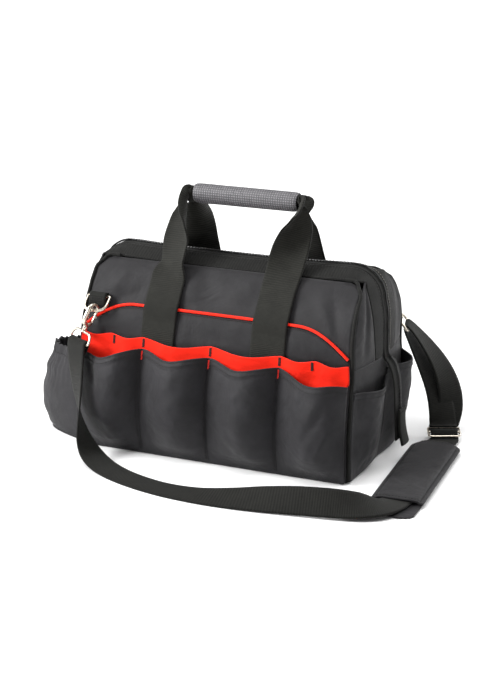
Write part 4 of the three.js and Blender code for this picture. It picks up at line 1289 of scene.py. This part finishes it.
def make_handles():
    for name, side, half_top, level, foot in HANDLES:
        flat = Vector((0, side, 0))
        halves = []
        for hand in (-1, 1):
            top = Vector((GRIP_CENTRE + hand * (half_top - 2), 0, GRIP_HEIGHT + level * 0.6))
            held = Vector((GRIP_CENTRE + hand * GRIP_HOLD, 0, GRIP_HEIGHT))
            halves.append(handle_leg(side, hand, half_top, level, foot)
                          + [(top, flat, TOP_WIDTH), (held, flat, FOLDED_WIDTH)])
        rows = level_rows(halves[0] + halves[1][::-1])
        place = tape_place(rows, HANDLE_STEPS, full=HANDLE_WIDTH, flip=side > 0)
        sheet(f"handle_webbing_{name}", place, (20, HANDLE_STEPS), (HANDLE_WIDTH, 700),
              "handle webbing", f"handle_{name}", WEBBING, offset=0)
        runs = []
        for edge in EDGE_ROWS:
            for start, stop in EDGE_RUNS:
                runs.append([(edge, i / HANDLE_STEPS) for i in range(start, stop)])
        for height in BOX_HEIGHTS:
            for share in box_rows(place, height):
                runs.append([(s, share) for s in spaced(0.08, 0.92, 24)])
        sewn = [raised(surface_run(place, run), WEBBING / 2) for run in runs]
        thread_piece(f"handle_stitches_{name}", sewn, "black thread",
                     length=2.4, pitch=4, width=0.8)

    bm = mapped_grid(64, 120, wrap_place, (81, GRIP_LENGTH), closed=True)
    bmesh.ops.recalc_face_normals(bm, faces=bm.faces)
    grip = finish_piece(bm, "grip_wrap", "wrap", nodes=["handle_grip"], thickness=WRAP_THICKNESS)


# Clips: rings, hooks, gates and eyes

GATE_FRAMES = {
    "left": ((0.27686, 0.84844, -0.45111), (0.29981, 0.36976, 0.87943), (0.91294, -0.37872, -0.15199),
             (-180.254, -97.381, 173.804)),
    "right": ((0.09693, -0.94994, -0.29701), (-0.54975, -0.29987, 0.77965), (-0.82968, 0.08771, -0.5513),
              (184.374, 106.516, 176.462)),
}
# Route of a ring tab round the ring's bar: distance up the wall and out from it, in wraps and mm
TAB_ROUTE = [(0, -14, -1, 0), (0, -9, -1, 0), (0, 0, -1, 0), (0.75, 0, -0.75, 0), (1, 0, 0, 0),
             (0.75, 0, 0.75, 0), (0, 0, 1, 0), (0, -6, 1, -0.6), (0, -13, 1, -3.2)]
BARREL_WIDTHS = [2.8, 3.5, 3.5, 3.5, 3.0]
# By side: way the strap pulls, way the hook faces and turn of the eye
HANGING = {
    -1: (Vector((-0.3, -0.37, -0.88)), Vector((0.95, -0.31, 0)), -25),
    1: (Vector((0.55, 0.3, -0.78)), Vector((-0.98, -0.1, 0)), 105),
}
EYE_CORNER = 7
EDGE_SLACK = 0.6
THUMB_RADIUS = 1.1


def set_frame(origin, up, face):
    """Matrix in millimetres with Y along up and Z as near to face as it can be."""
    y = up.normalized()
    z = (face - y * y.dot(face)).normalized()
    return basis(y.cross(z), y, z, origin)


def wrap_radius(stock):
    """Distance from a round bar's centre to the middle of webbing wrapped round it."""
    return 1.1 * (math.hypot(stock, stock) / 2 + SEAM_GAP + WEBBING / 2)


def clip_site(side):
    """Where the ring, hook, eye and webbing of one side hang."""
    wrap = wrap_radius(RING_STOCK)
    place = side * RING_PLACE
    bar = on_wall(side, place, RING_BAR, SEAM_GAP + WEBBING / 2 + wrap)
    out = (bar - on_wall(side, place, RING_BAR, 0)).normalized()
    level = (on_wall(side, place + 1, RING_BAR, 0) - on_wall(side, place - 1, RING_BAR, 0)).normalized()
    rise = level.cross(out).normalized()
    if rise.z < 0:
        rise = -rise
    tilt = math.radians(RING_TILT)
    hang = -rise * math.cos(tilt) + out * math.sin(tilt)
    pull, facing, turn = HANGING[side]
    up = -pull.normalized()
    wire = bar + hang * (RING_HEIGHT - RING_STOCK)
    bow = wire - up * (HOOK_BORE - 1.45 * RING_STOCK - SEAM_GAP)
    across = turned_across(turn)
    eye = bow - up * (HOOK_SPINE + HOOK_BASE + HOOK_BARREL + SEAM_GAP)
    return {
        "bar": bar, "out": out, "level": level, "rise": rise, "hang": hang, "wrap": wrap,
        "up": up, "across": across, "hook": set_frame(bow, up, facing),
        "eye": set_frame(eye, up, across.cross(up)), "bar_at": eye - up * (EYE_HEIGHT - EYE_STOCK / 2),
    }


def make_ring(name, side, clip):
    wrap, out = clip["wrap"], clip["out"]
    rows = []
    for up, more, lift, extra in TAB_ROUTE:
        at = clip["bar"] + clip["rise"] * (up * wrap + more) + out * (lift * wrap + extra)
        rows.append((at, clip["level"], TAB_WIDTH))
    place = tape_place(rows, 60, flip=side > 0)
    sheet(f"ring_webbing_{name}", lambda s, t: place(1 - s, t), (10, 60), (TAB_WIDTH, 42),
          "strap webbing", f"ring_tab_{name}", WEBBING, offset=0)
    bm = bmesh.new()
    for row in range(3):
        line = surface_run(place, [(s, 0.9 - 0.035 * row) for s in spaced(0.12, 0.88, 16)])
        stitches(bm, [(p + out * 1.1, out) for p, _ in line], 2.4, 3.4, 0.8)
    finish_piece(bm, f"ring_webbing_stitches_{name}", "black thread", angle=60)

    stock = RING_STOCK / 2
    half, drop = RING_WIDTH / 2 - stock, RING_HEIGHT - stock
    up = -clip["hang"]
    outline = closed_path(flat_points([(-half, -stock), (half, -stock), (half, -drop), (-half, -drop)]),
                          (2, 2, 13, 13), 8, share=0.6)
    ring = set_frame(clip["bar"] + up * stock, up, clip["level"].cross(up))
    metal_piece(f"d_ring_wire_{name}", ring, [(outline, stock, 14)], f"d_ring_{name}",
                closed=True, angle=40)


def make_hook(name, clip):
    bend = HOOK_BORE + HOOK_STOCK / 2
    foot = -HOOK_SPINE - HOOK_BASE
    bow = arc_points((0, 0), bend, 0, 180, 20)
    spine = [(-bend, -4), (-bend, -8), (-bend, -12), (-bend, -16), (-bend * 0.75, -HOOK_SPINE - 1),
             (-bend * 0.3, -HOOK_SPINE - 3.5), (0, foot)]
    body = catmull(flat_points([(bend, -4)]) + bow + flat_points(spine), 90)
    shank = flat_points([(-bend * (1 - 0.35 * u), -3 - u * (HOOK_SPINE + 1)) for u in spaced(0, 1, 10)])
    nose = flat_points([(bend, -GATE_FOOT - HOOK_STOCK / 2 - SEAM_GAP - 0.2),
                        (bend * 0.6, -GATE_FOOT - 4), (0, foot)])
    barrel = flat_points([(0, foot - y) for y in (-1.5, 0.3, 1, HOOK_BARREL - 0.9, HOOK_BARREL)])
    metal_piece(f"snap_hook_body_{name}", clip["hook"], [
        (body, lambda t: HOOK_STOCK / 2 * (1 + 0.75 * ease((t - 0.42) * 3)), 14),
        (shank, lambda t: 1.8 + 1.5 * math.sin(math.pi * t) ** 0.6, 14),
        (catmull(nose, 20), lambda t: lerp(2.0, 3.2, t), 14),
        (barrel, lambda t: BARREL_WIDTHS[min(round(t * 4), 4)], 20),
    ], f"snap_hook_{name}")


def make_gate(name):
    x, y, z, origin = (Vector(v) for v in GATE_FRAMES[name])
    lever = flat_points([(0, GATE_LENGTH * u) for u in spaced(0, 1, 12)])
    thumb = flat_points([(1.2 + 2.2 * math.sin(math.pi * u), GATE_LENGTH * lerp(0.32, 0.74, u))
                         for u in spaced(0, 1, 8)])
    metal_piece(f"gate_lever_{name}", basis(x, y, z, origin), [
        (lever, lambda t: 1.5 if 0.03 < t < 0.97 else 1.2, 12),
        (thumb, THUMB_RADIUS, 10),
    ], f"hook_gate_{name}", body=f"gate_{name}")


def make_eye(name, clip):
    stock = EYE_STOCK / 2
    wide = STRAP_WIDTH / 2 + EDGE_SLACK + stock
    low = stock - EYE_HEIGHT
    corners = flat_points([(-0.72 * wide, -2.2), (0.72 * wide, -2.2), (wide, -EYE_SHOULDER),
                           (wide, low), (-wide, low), (-wide, -EYE_SHOULDER)])
    bm = tube_mesh(placed(closed_path(corners, EYE_CORNER), clip["eye"]), stock, 12, closed=True)
    collar = flat_points([(0, y) for y in (-0.2, -0.8, -3.4, -4)])
    join_into(bm, tube_mesh(placed(collar, clip["eye"]), lambda t: 3.4 if 0.2 <= t <= 0.9 else 2.6, 16))
    finish_piece(bm, f"swivel_eye_bow_{name}", "nickel", nodes=[f"swivel_eye_{name}"], angle=50)


def make_clips():
    for name, side in ENDS:
        clip = clip_site(side)
        make_ring(name, side, clip)
        make_hook(name, clip)
        make_gate(name)
        make_eye(name, clip)


# Shoulder strap, slider and pad

STRAP_FLOOR = 1.5
STRAP_STEPS = 420
LOOP_STEPS = 320
PAD_BED = PAD_BASE + SEAM_GAP + WEBBING / 2
# Along the floor: place, turn of the direction across in degrees and its roll
FRONT_ROUTE = [
    (-190, -127, 118, -30, 0), (-187, -133, 95, -40, 0), (-181, -140, 70, -52, 0),
    (-174, -148, 46, -66, 0), (-163, -158, 23, -85, 0), (-149, -168, 8, -105, 0),
    (-129, -181, STRAP_FLOOR, -120, 0), (-99, -198, STRAP_FLOOR, -120, 0),
    (-60, -214, STRAP_FLOOR, -111, 0), (-14, -226, STRAP_FLOOR, -101, 0),
    (35, -231, STRAP_FLOOR + 0.5, -95, -1), (85, -229, 8, -90, -17), (134, -226, 14, -88, -38),
    (180, -222, 19, -88, -62), (225, -217, 20, -80, -60), (257, -208, 18, -58, -38),
    (277, -188, 12, -30, -10), (286, -163, PAD_BED + 0.6, -4, 0),
]
PAD_SHARES = [-0.32, -0.1, 0.15, 0.4, 0.51]
# Up to the right eye and back down to the slider
OUTER_ROUTE = [
    (260, 129, 19, 28), (267, 134, 36, 37), (265, 137, 56, 50), (258, 138, 79, 62),
    (246, 136, 105, 74), (230, 130, 129, 88),
]
INNER_ROUTE = [
    (217, 123, 118, 88), (229, 127, 98, 74), (242, 128, 76, 62), (251, 127, 54, 50), (257, 122, 34, 37),
]
SLIDER_CENTRE = Vector((265, 103, 12.5))
SLIDER_TURN = 24
SLIDER_PITCH = 12
SLIDER_BAR = 1.65
SLIDER_FRAME = 1.6
SLIDER_CORNER = 5
# Webbing through the slider: distance along it and height over it
LONG_END = [(-14, -3.3), (-9.3, -2.9), (-2.15, 2.9), (2.15, 2.9), (8.9, -4.8), (14.5, -5.4)]
# Shell of the pad's base: height and inset of each ring round it
PAD_RINGS = [(0.5, 1.6), (1.2, 0.5), (2.4, 0), (3.4, 0.9)]
PAD_INSET = 0.8
PAD_CORE = 90
PAD_VOXEL = 3
SWELL_PRESSURE = 3
SWELL_CAP = 0.8
FLOOR_CLEARANCE = 0.2


def turned_across(turn, roll=0):
    turn, roll = math.radians(turn), math.radians(roll)
    return Vector((math.cos(roll) * math.cos(turn), math.cos(roll) * math.sin(turn), math.sin(roll)))


def slider_axes():
    across = turned_across(SLIDER_TURN)
    pitch = math.radians(SLIDER_PITCH)
    along = turned_across(SLIDER_TURN + 90) * math.cos(pitch) + Vector((0, 0, math.sin(pitch)))
    return across, along, across.cross(along).normalized()


def slider_row(along, over):
    across, way, up = slider_axes()
    return (SLIDER_CENTRE + way * along + up * over, across, STRAP_WIDTH)


def route_rows(route):
    """Rows of strap webbing through places with the turn, and perhaps the roll, of its width."""
    return [(Vector((x, y, z)), turned_across(*turns), STRAP_WIDTH) for x, y, z, *turns in route]


def eye_rows(clip, across, first, last):
    """Rows of webbing round the bar of an eye, from its back to its front."""
    wrap = wrap_radius(EYE_STOCK)
    out = across.cross(clip["up"]).normalized()
    turns = [(-first, -1), (0, -1), (0.72, -0.72), (1, 0), (0.72, 0.72), (0, 1), (-last, 1)]
    return [(clip["bar_at"] + clip["up"] * (up * wrap) + out * (lift * wrap), across, STRAP_WIDTH)
            for up, lift in turns]


def pad_spot(across, along, z):
    wide, way = turned_across(PAD_TURN), turned_across(PAD_TURN + 90)
    return Vector((*PAD_CENTRE, z)) + wide * across + way * along


def make_slider():
    body = basis(*slider_axes(), SLIDER_CENTRE)
    half = STRAP_WIDTH / 2 + EDGE_SLACK + 2.2
    reach = SLIDER_LENGTH / 2 - 1.5
    corners = flat_points([(half, -reach), (half, reach), (-half, reach), (-half, -reach)])
    bm = tube_mesh(placed(closed_path(corners, SLIDER_CORNER), body), SLIDER_FRAME, 12, closed=True)
    bar = flat_points([(x, 0) for x in spaced(-half, half, 8)])
    join_into(bm, tube_mesh(placed(bar, body), SLIDER_BAR, 12))
    finish_piece(bm, "slider_wire", "nickel", nodes=["strap_slider"], angle=50)


def make_strap():
    left, right = clip_site(-1), clip_site(1)
    in_pad = [(pad_spot(0, share * PAD_LENGTH, PAD_BED), turned_across(PAD_TURN), STRAP_WIDTH)
              for share in PAD_SHARES]
    rows = level_rows(eye_rows(left, left["across"], 3.2, 1.2) + route_rows(FRONT_ROUTE) + in_pad)
    rows = smooth_rows(rows, 2) + [slider_row(*at) for at in LONG_END]
    sheet("strap_webbing_long", tape_place(level_rows(rows), STRAP_STEPS), (10, STRAP_STEPS),
          (STRAP_WIDTH, 1000), "strap webbing", "shoulder_strap", WEBBING, offset=0)

    outer = route_rows(OUTER_ROUTE)
    around = eye_rows(right, right["across"], 1.2, 1.2)
    if (around[-1][0] - outer[-1][0]).length <= (around[0][0] - outer[-1][0]).length:
        around.reverse()
    rows = [slider_row(19, -5.6)] + outer + around + route_rows(INNER_ROUTE) + [slider_row(14, 3.7)]
    rows = [slider_row(15.1, -5.6)] + smooth_rows(rows, 2) + [slider_row(8.5, 3.3)]
    place = tape_place(level_rows(rows), LOOP_STEPS)
    sheet("strap_webbing_loop", place, (10, LOOP_STEPS), (STRAP_WIDTH, 420), "strap webbing",
          "adjuster_strap", WEBBING, offset=0)
    make_slider()
    near_end = surface_run(place, [(s, 0.985) for s in spaced(0.12, 0.88, 20)])
    thread_piece("strap_stitches", [raised(near_end, 1.2)], "black thread",
                 length=2.4, pitch=3.6)


def evaluated(piece):
    return piece.evaluated_get(bpy.context.evaluated_depsgraph_get())


def swell(piece, pressure, cap, frames=20):
    """Inflates a closed foam piece with cloth simulation, no point moving further than the cap."""
    scene = bpy.context.scene
    cloth = piece.modifiers.new("Swell", "CLOTH")
    cloth.settings.use_pressure = True
    cloth.settings.uniform_pressure_force = pressure
    cloth.settings.quality = 6
    cloth.settings.effector_weights.gravity = 0
    cloth.point_cache.frame_start = 1
    cloth.point_cache.frame_end = frames
    for step in range(1, frames + 1):
        scene.frame_set(step)
    found = [vert.co.copy() for vert in evaluated(piece).data.vertices]
    piece.modifiers.remove(cloth)
    for vert, new in zip(piece.data.vertices, found):
        moved = new - vert.co
        if moved.length > cap * MM:
            moved = moved.normalized() * (cap * MM)
        vert.co += moved
    scene.frame_set(1)


def remeshed(piece, voxel):
    """Rebuilds a piece's mesh from even voxels of that size in millimetres."""
    rebuild = piece.modifiers.new("Rebuild", "REMESH")
    rebuild.mode = "VOXEL"
    rebuild.voxel_size = voxel * MM
    rebuild.use_smooth_shade = True
    mesh = bpy.data.meshes.new_from_object(evaluated(piece))
    piece.modifiers.remove(rebuild)
    old = piece.data
    piece.data = mesh
    bpy.data.meshes.remove(old)


def pad_shell():
    """Closed shell of the pad's base, from rings with rounded edges."""
    half, reach = PAD_WIDTH / 2 - PAD_INSET, PAD_LENGTH / 2 - PAD_INSET
    corners = flat_points([(half, -reach), (half, reach), (-half, reach), (-half, -reach)])
    outline = closed_path(corners, PAD_CORNER * 1.4, 8)
    bm = bmesh.new()
    rings = []
    for z, inset in PAD_RINGS:
        ring = []
        for point in outline:
            centre = Vector((0, clamp(point.y, -PAD_CORE, PAD_CORE), 0))
            pulled = point - (point - centre).normalized() * inset
            ring.append(bm.verts.new(pad_spot(pulled.x, pulled.y, z) * MM))
        rings.append(ring)
    for a, b in zip(rings, rings[1:]):
        edges = []
        for ring in (a, b):
            for pair in zip(ring, ring[1:] + ring[:1]):
                edges.append(bm.edges.get(pair) or bm.edges.new(pair))
        bmesh.ops.bridge_loops(bm, edges=edges)
    for ring in (rings[0], rings[-1]):
        bm.faces.new(ring)
    bmesh.ops.remove_doubles(bm, verts=bm.verts, dist=1e-5)
    bmesh.ops.recalc_face_normals(bm, faces=bm.faces)
    return bm


def sleeve_place(s, t):
    """The pad's cover: domed over the webbing, its far end rounded and its sides sewn down."""
    high = PAD_LENGTH / 2 - 1
    along = lerp(PAD_LENGTH / 2 - PAD_COVER_LENGTH, high, t)
    share = 2 * s - 1
    half = PAD_WIDTH / 2 + 0.8
    corner = PAD_CORNER * 1.3
    far = (along - high + corner) / corner
    if far > 0:
        half -= corner * (1 - math.sqrt(1 - far**2 * 0.95))
    crown = math.sin(math.pi / 2 * clamp((1 - abs(share)) / 0.38, 0, 1))
    dome = 3.6 * (1 - share**2) * math.sin(math.pi * clamp(t, 0.02, 0.98)) ** 0.4
    end = 1 - 0.5 * ease((abs(2 * t - 1) - 0.93) / 0.07)
    seam = 1.04 * math.exp(-(((abs(share) - 0.84) / 0.04) ** 2))
    soft = ripple(share * 34, along, 30, 0.7, 5.2) * crown
    z = PAD_BASE + SEAM_GAP + PAD_COVER + (WEBBING + 1.2) * crown
    return pad_spot(share * half, along, z + dome * end + soft - seam)


def make_pad():
    base = finish_piece(pad_shell(), "pad_cushion", "lit pocket canvas", nodes=["pad_base"])
    remeshed(base, PAD_VOXEL)
    swell(base, SWELL_PRESSURE, SWELL_CAP)
    lowest = min(vert.co.z for vert in base.data.vertices)
    for vert in base.data.vertices:
        vert.co.z += FLOOR_CLEARANCE * MM - lowest
    smooth = base.modifiers.new("Smooth", "SUBSURF")
    smooth.levels = 1
    smooth.render_levels = 1
    sleeve = sheet("pad_sleeve", sleeve_place, (60, 150), (72, PAD_COVER_LENGTH), "canvas",
                   "pad_cover", PAD_COVER - 0.2)
    runs = [[(s, i / 150) for i in range(2, 142)] for s in (0.08, 0.92)]
    runs += [[(s, t) for s in spaced(0.08, 0.92, 60)] for t in (0.018, 0.975)]
    thread_piece("pad_stitches", [surface_run(sleeve_place, run) for run in runs],
                 "black thread", length=2.4, pitch=4.2, width=0.7)


# Stage

WHITE = "#ffffff"
FLOOR_HALF = 12
TARGET = Vector((13.5, 0, 130.6)) * MM
SENSOR = 36
# Each light: place in metres, size and the setting that holds its power
LIGHTS = [
    ("key light", (-2.3, -1.5, 1.7), 1.3, "key_power"),
    ("top light", (0.1, -0.2, 3), 2.6, "top_power"),
    ("rim light", (1.4, 1.9, 1.6), 1.6, "rim_power"),
]


def add_to_stage(name, data, location=(0, 0, 0), facing=None):
    """Object in the scene; facing is the direction its local Z points in."""
    thing = bpy.data.objects.new(name, data)
    thing.location = location
    if facing is not None:
        thing.rotation_euler = facing.to_track_quat("Z", "Y").to_euler()
    bpy.context.scene.collection.objects.link(thing)
    return thing


def make_stage():
    settings = bpy.context.scene.tool_bag_stage
    scene = bpy.context.scene
    # Pale painted floor that turns into white surroundings away from the bag
    paint = Finish("Pale Painted Floor")
    colour = paint.two_tone(paint.grain({"Scale": 3, "Detail": 2}), "#f4f4f4", "#f8f8f8")
    away = paint.add("VectorMath", {"operation": "LENGTH"}, {0: paint.place.outputs["Object"]})
    far = paint.add("MapRange", {"From Min": 0.9, "From Max": 3.5}, {"Value": away.outputs["Value"]})
    bm = bmesh.new()
    bmesh.ops.create_grid(bm, x_segments=2, y_segments=2, size=FLOOR_HALF)
    mesh = bpy.data.meshes.new("floor")
    bm.to_mesh(mesh)
    bm.free()
    mesh.materials.append(paint.finish(
        {"Roughness": 0.9, "Emission Color": hex_colour(WHITE)},
        {"Base Color": colour, "Emission Strength": far.outputs[0]}))
    floor = add_to_stage("floor", mesh)

    azimuth, elevation = math.radians(settings.azimuth), math.radians(settings.elevation)
    level = math.cos(elevation)
    back = Vector((math.sin(azimuth) * level, -math.cos(azimuth) * level, math.sin(elevation)))
    lens = bpy.data.cameras.new("camera")
    lens.sensor_fit = "AUTO"
    lens.sensor_width = SENSOR
    lens.lens = settings.lens
    camera = add_to_stage("camera", lens, TARGET + back * settings.distance, back)
    scene.camera = camera

    for name, at, size, power in LIGHTS:
        lamp = bpy.data.lights.new(name, "AREA")
        lamp.energy = getattr(settings, power)
        lamp.size = size
        add_to_stage(name, lamp, at, Vector(at) - TARGET)

    world = bpy.data.worlds.new("studio")
    world.use_nodes = True
    tree = world.node_tree
    tree.nodes.clear()
    sky, seen = [
        add_node(tree, "Background", {"Color": hex_colour(WHITE), "Strength": strength})
        for strength in (settings.sky, settings.seen)
    ]
    path = add_node(tree, "LightPath")
    both = add_node(tree, "MixShader", links={
        0: path.outputs["Is Camera Ray"], 1: sky.outputs[0], 2: seen.outputs[0]})
    add_node(tree, "OutputWorld", links={0: both.outputs[0]})
    scene.world = world
    scene.view_settings.view_transform = "Standard"


# Add-on

class ToolBagLooks(bpy.types.PropertyGroup):
    """Sizes of the patterns on the cloth, webbing and grip."""

    weave_pitch: bpy.props.FloatProperty(
        name="Weave Pitch", description="Distance between threads of the canvas, in millimetres",
        default=0.9, min=0.3, max=4)
    rib_pitch: bpy.props.FloatProperty(
        name="Rib Pitch", description="Distance between ribs of the webbing, in millimetres",
        default=2.4, min=0.6, max=8)
    wrap_square: bpy.props.FloatProperty(
        name="Wrap Square", description="Side of the squares on the grip wrap, in millimetres",
        default=3.4, min=1, max=10)


class ToolBagStage(bpy.types.PropertyGroup):
    """Camera and lights around the bag."""

    azimuth: bpy.props.FloatProperty(
        name="Azimuth", description="Turn of the camera from the front, in degrees", default=23.77)
    elevation: bpy.props.FloatProperty(
        name="Elevation", description="Height of the camera above level, in degrees", default=17.51)
    distance: bpy.props.FloatProperty(
        name="Distance", description="From the camera to its target", default=2.349, unit="LENGTH", min=0.2)
    lens: bpy.props.FloatProperty(
        name="Lens", description="Focal length of the camera, in millimetres", default=87.27, min=10)
    key_power: bpy.props.FloatProperty(
        name="Key Power", description="Light from the upper left front", default=150, unit="POWER", min=0)
    top_power: bpy.props.FloatProperty(
        name="Top Power", description="Soft light from above", default=80, unit="POWER", min=0)
    rim_power: bpy.props.FloatProperty(
        name="Rim Power", description="Light from behind", default=45, unit="POWER", min=0)
    sky: bpy.props.FloatProperty(
        name="Sky", description="Light from the pale surroundings", default=0.26, min=0)
    seen: bpy.props.FloatProperty(
        name="Backdrop", description="Brightness of the surroundings in the picture", default=1.1, min=0)


class BagStep:
    """What every operator of the bag does: it runs its makers and checks their pieces."""

    makers = ()
    pieces = ()

    def execute(self, context):
        for make in self.makers:
            make()
        missing = [name for name in self.pieces if name not in bpy.data.objects]
        if missing:
            raise RuntimeError(f"{self.bl_label} did not make {', '.join(missing)}")
        return {"FINISHED"}


class OBJECT_OT_tool_bag_finishes(BagStep, bpy.types.Operator):
    """Make the materials of the bag"""

    bl_idname = "object.tool_bag_finishes"
    bl_label = "Make Finishes"
    makers = (make_finishes,)


class OBJECT_OT_tool_bag_shell(BagStep, bpy.types.Operator):
    """Make the base, walls, ends and corner cords"""

    bl_idname = "object.tool_bag_shell"
    bl_label = "Make Shell"
    makers = (make_shell,)
    pieces = ("base_cloth", "front_wall", "back_wall", "end_wall_left", "end_wall_right")


class OBJECT_OT_tool_bag_mouth(BagStep, bpy.types.Operator):
    """Make the mouth bindings, the zip and its folded tabs"""

    bl_idname = "object.tool_bag_mouth"
    bl_label = "Make Mouth and Zip"
    makers = (make_mouth,)
    pieces = ("mouth_binding_front", "mouth_binding_back", "zip_cloth", "zip_teeth")


class OBJECT_OT_tool_bag_pockets(BagStep, bpy.types.Operator):
    """Make the slip pocket, the lining, the front and end pockets and the gathered pocket"""

    bl_idname = "object.tool_bag_pockets"
    bl_label = "Make Pockets"
    makers = (make_pockets,)
    pieces = ("slip_pocket_wall", "lining_wall", "front_pocket_cloth", "gathered_pocket_cloth")


class OBJECT_OT_tool_bag_handles(BagStep, bpy.types.Operator):
    """Make both handles and the grip wrap"""

    bl_idname = "object.tool_bag_handles"
    bl_label = "Make Handles"
    makers = (make_handles,)
    pieces = ("handle_webbing_front", "handle_webbing_back", "grip_wrap")


class OBJECT_OT_tool_bag_clips(BagStep, bpy.types.Operator):
    """Make the rings, snap hooks, gates and swivel eyes"""

    bl_idname = "object.tool_bag_clips"
    bl_label = "Make Clips"
    makers = (make_clips,)
    pieces = ("snap_hook_body_left", "snap_hook_body_right", "gate_lever_left", "gate_lever_right")


class OBJECT_OT_tool_bag_strap(BagStep, bpy.types.Operator):
    """Make the shoulder strap, its slider and its pad"""

    bl_idname = "object.tool_bag_strap"
    bl_label = "Make Strap and Pad"
    makers = (make_strap, make_pad)
    pieces = ("strap_webbing_long", "strap_webbing_loop", "slider_wire", "pad_cushion", "pad_sleeve")


class OBJECT_OT_tool_bag_stage(BagStep, bpy.types.Operator):
    """Make the floor, lights, surroundings and camera"""

    bl_idname = "object.tool_bag_stage"
    bl_label = "Make Stage"
    makers = (make_stage,)
    pieces = ("floor", "camera")


OPERATORS = [
    OBJECT_OT_tool_bag_finishes,
    OBJECT_OT_tool_bag_shell,
    OBJECT_OT_tool_bag_mouth,
    OBJECT_OT_tool_bag_pockets,
    OBJECT_OT_tool_bag_handles,
    OBJECT_OT_tool_bag_clips,
    OBJECT_OT_tool_bag_strap,
    OBJECT_OT_tool_bag_stage,
]


class VIEW3D_PT_tool_bag(bpy.types.Panel):
    """Settings and steps of the bag"""

    bl_label = "Tool Bag"
    bl_idname = "VIEW3D_PT_tool_bag"
    bl_space_type = "VIEW_3D"
    bl_region_type = "UI"
    bl_category = "Tool Bag"

    def draw(self, context):
        for group in (context.scene.tool_bag_looks, context.scene.tool_bag_stage):
            for key in group.__annotations__:
                self.layout.prop(group, key)
        for operator in OPERATORS:
            self.layout.operator(operator.bl_idname)


CLASSES = [ToolBagLooks, ToolBagStage, *OPERATORS, VIEW3D_PT_tool_bag]


def register():
    for kind in CLASSES:
        bpy.utils.register_class(kind)
    bpy.types.Scene.tool_bag_looks = bpy.props.PointerProperty(type=ToolBagLooks)
    bpy.types.Scene.tool_bag_stage = bpy.props.PointerProperty(type=ToolBagStage)


def unregister():
    del bpy.types.Scene.tool_bag_stage
    del bpy.types.Scene.tool_bag_looks
    for kind in reversed(CLASSES):
        bpy.utils.unregister_class(kind)


def main():
    register()
    bpy.ops.object.tool_bag_finishes()
    bpy.ops.object.tool_bag_shell()
    bpy.ops.object.tool_bag_mouth()
    bpy.ops.object.tool_bag_pockets()
    bpy.ops.object.tool_bag_handles()
    bpy.ops.object.tool_bag_clips()
    bpy.ops.object.tool_bag_strap()
    bpy.ops.object.tool_bag_stage()


if __name__ == "__main__":
    main()
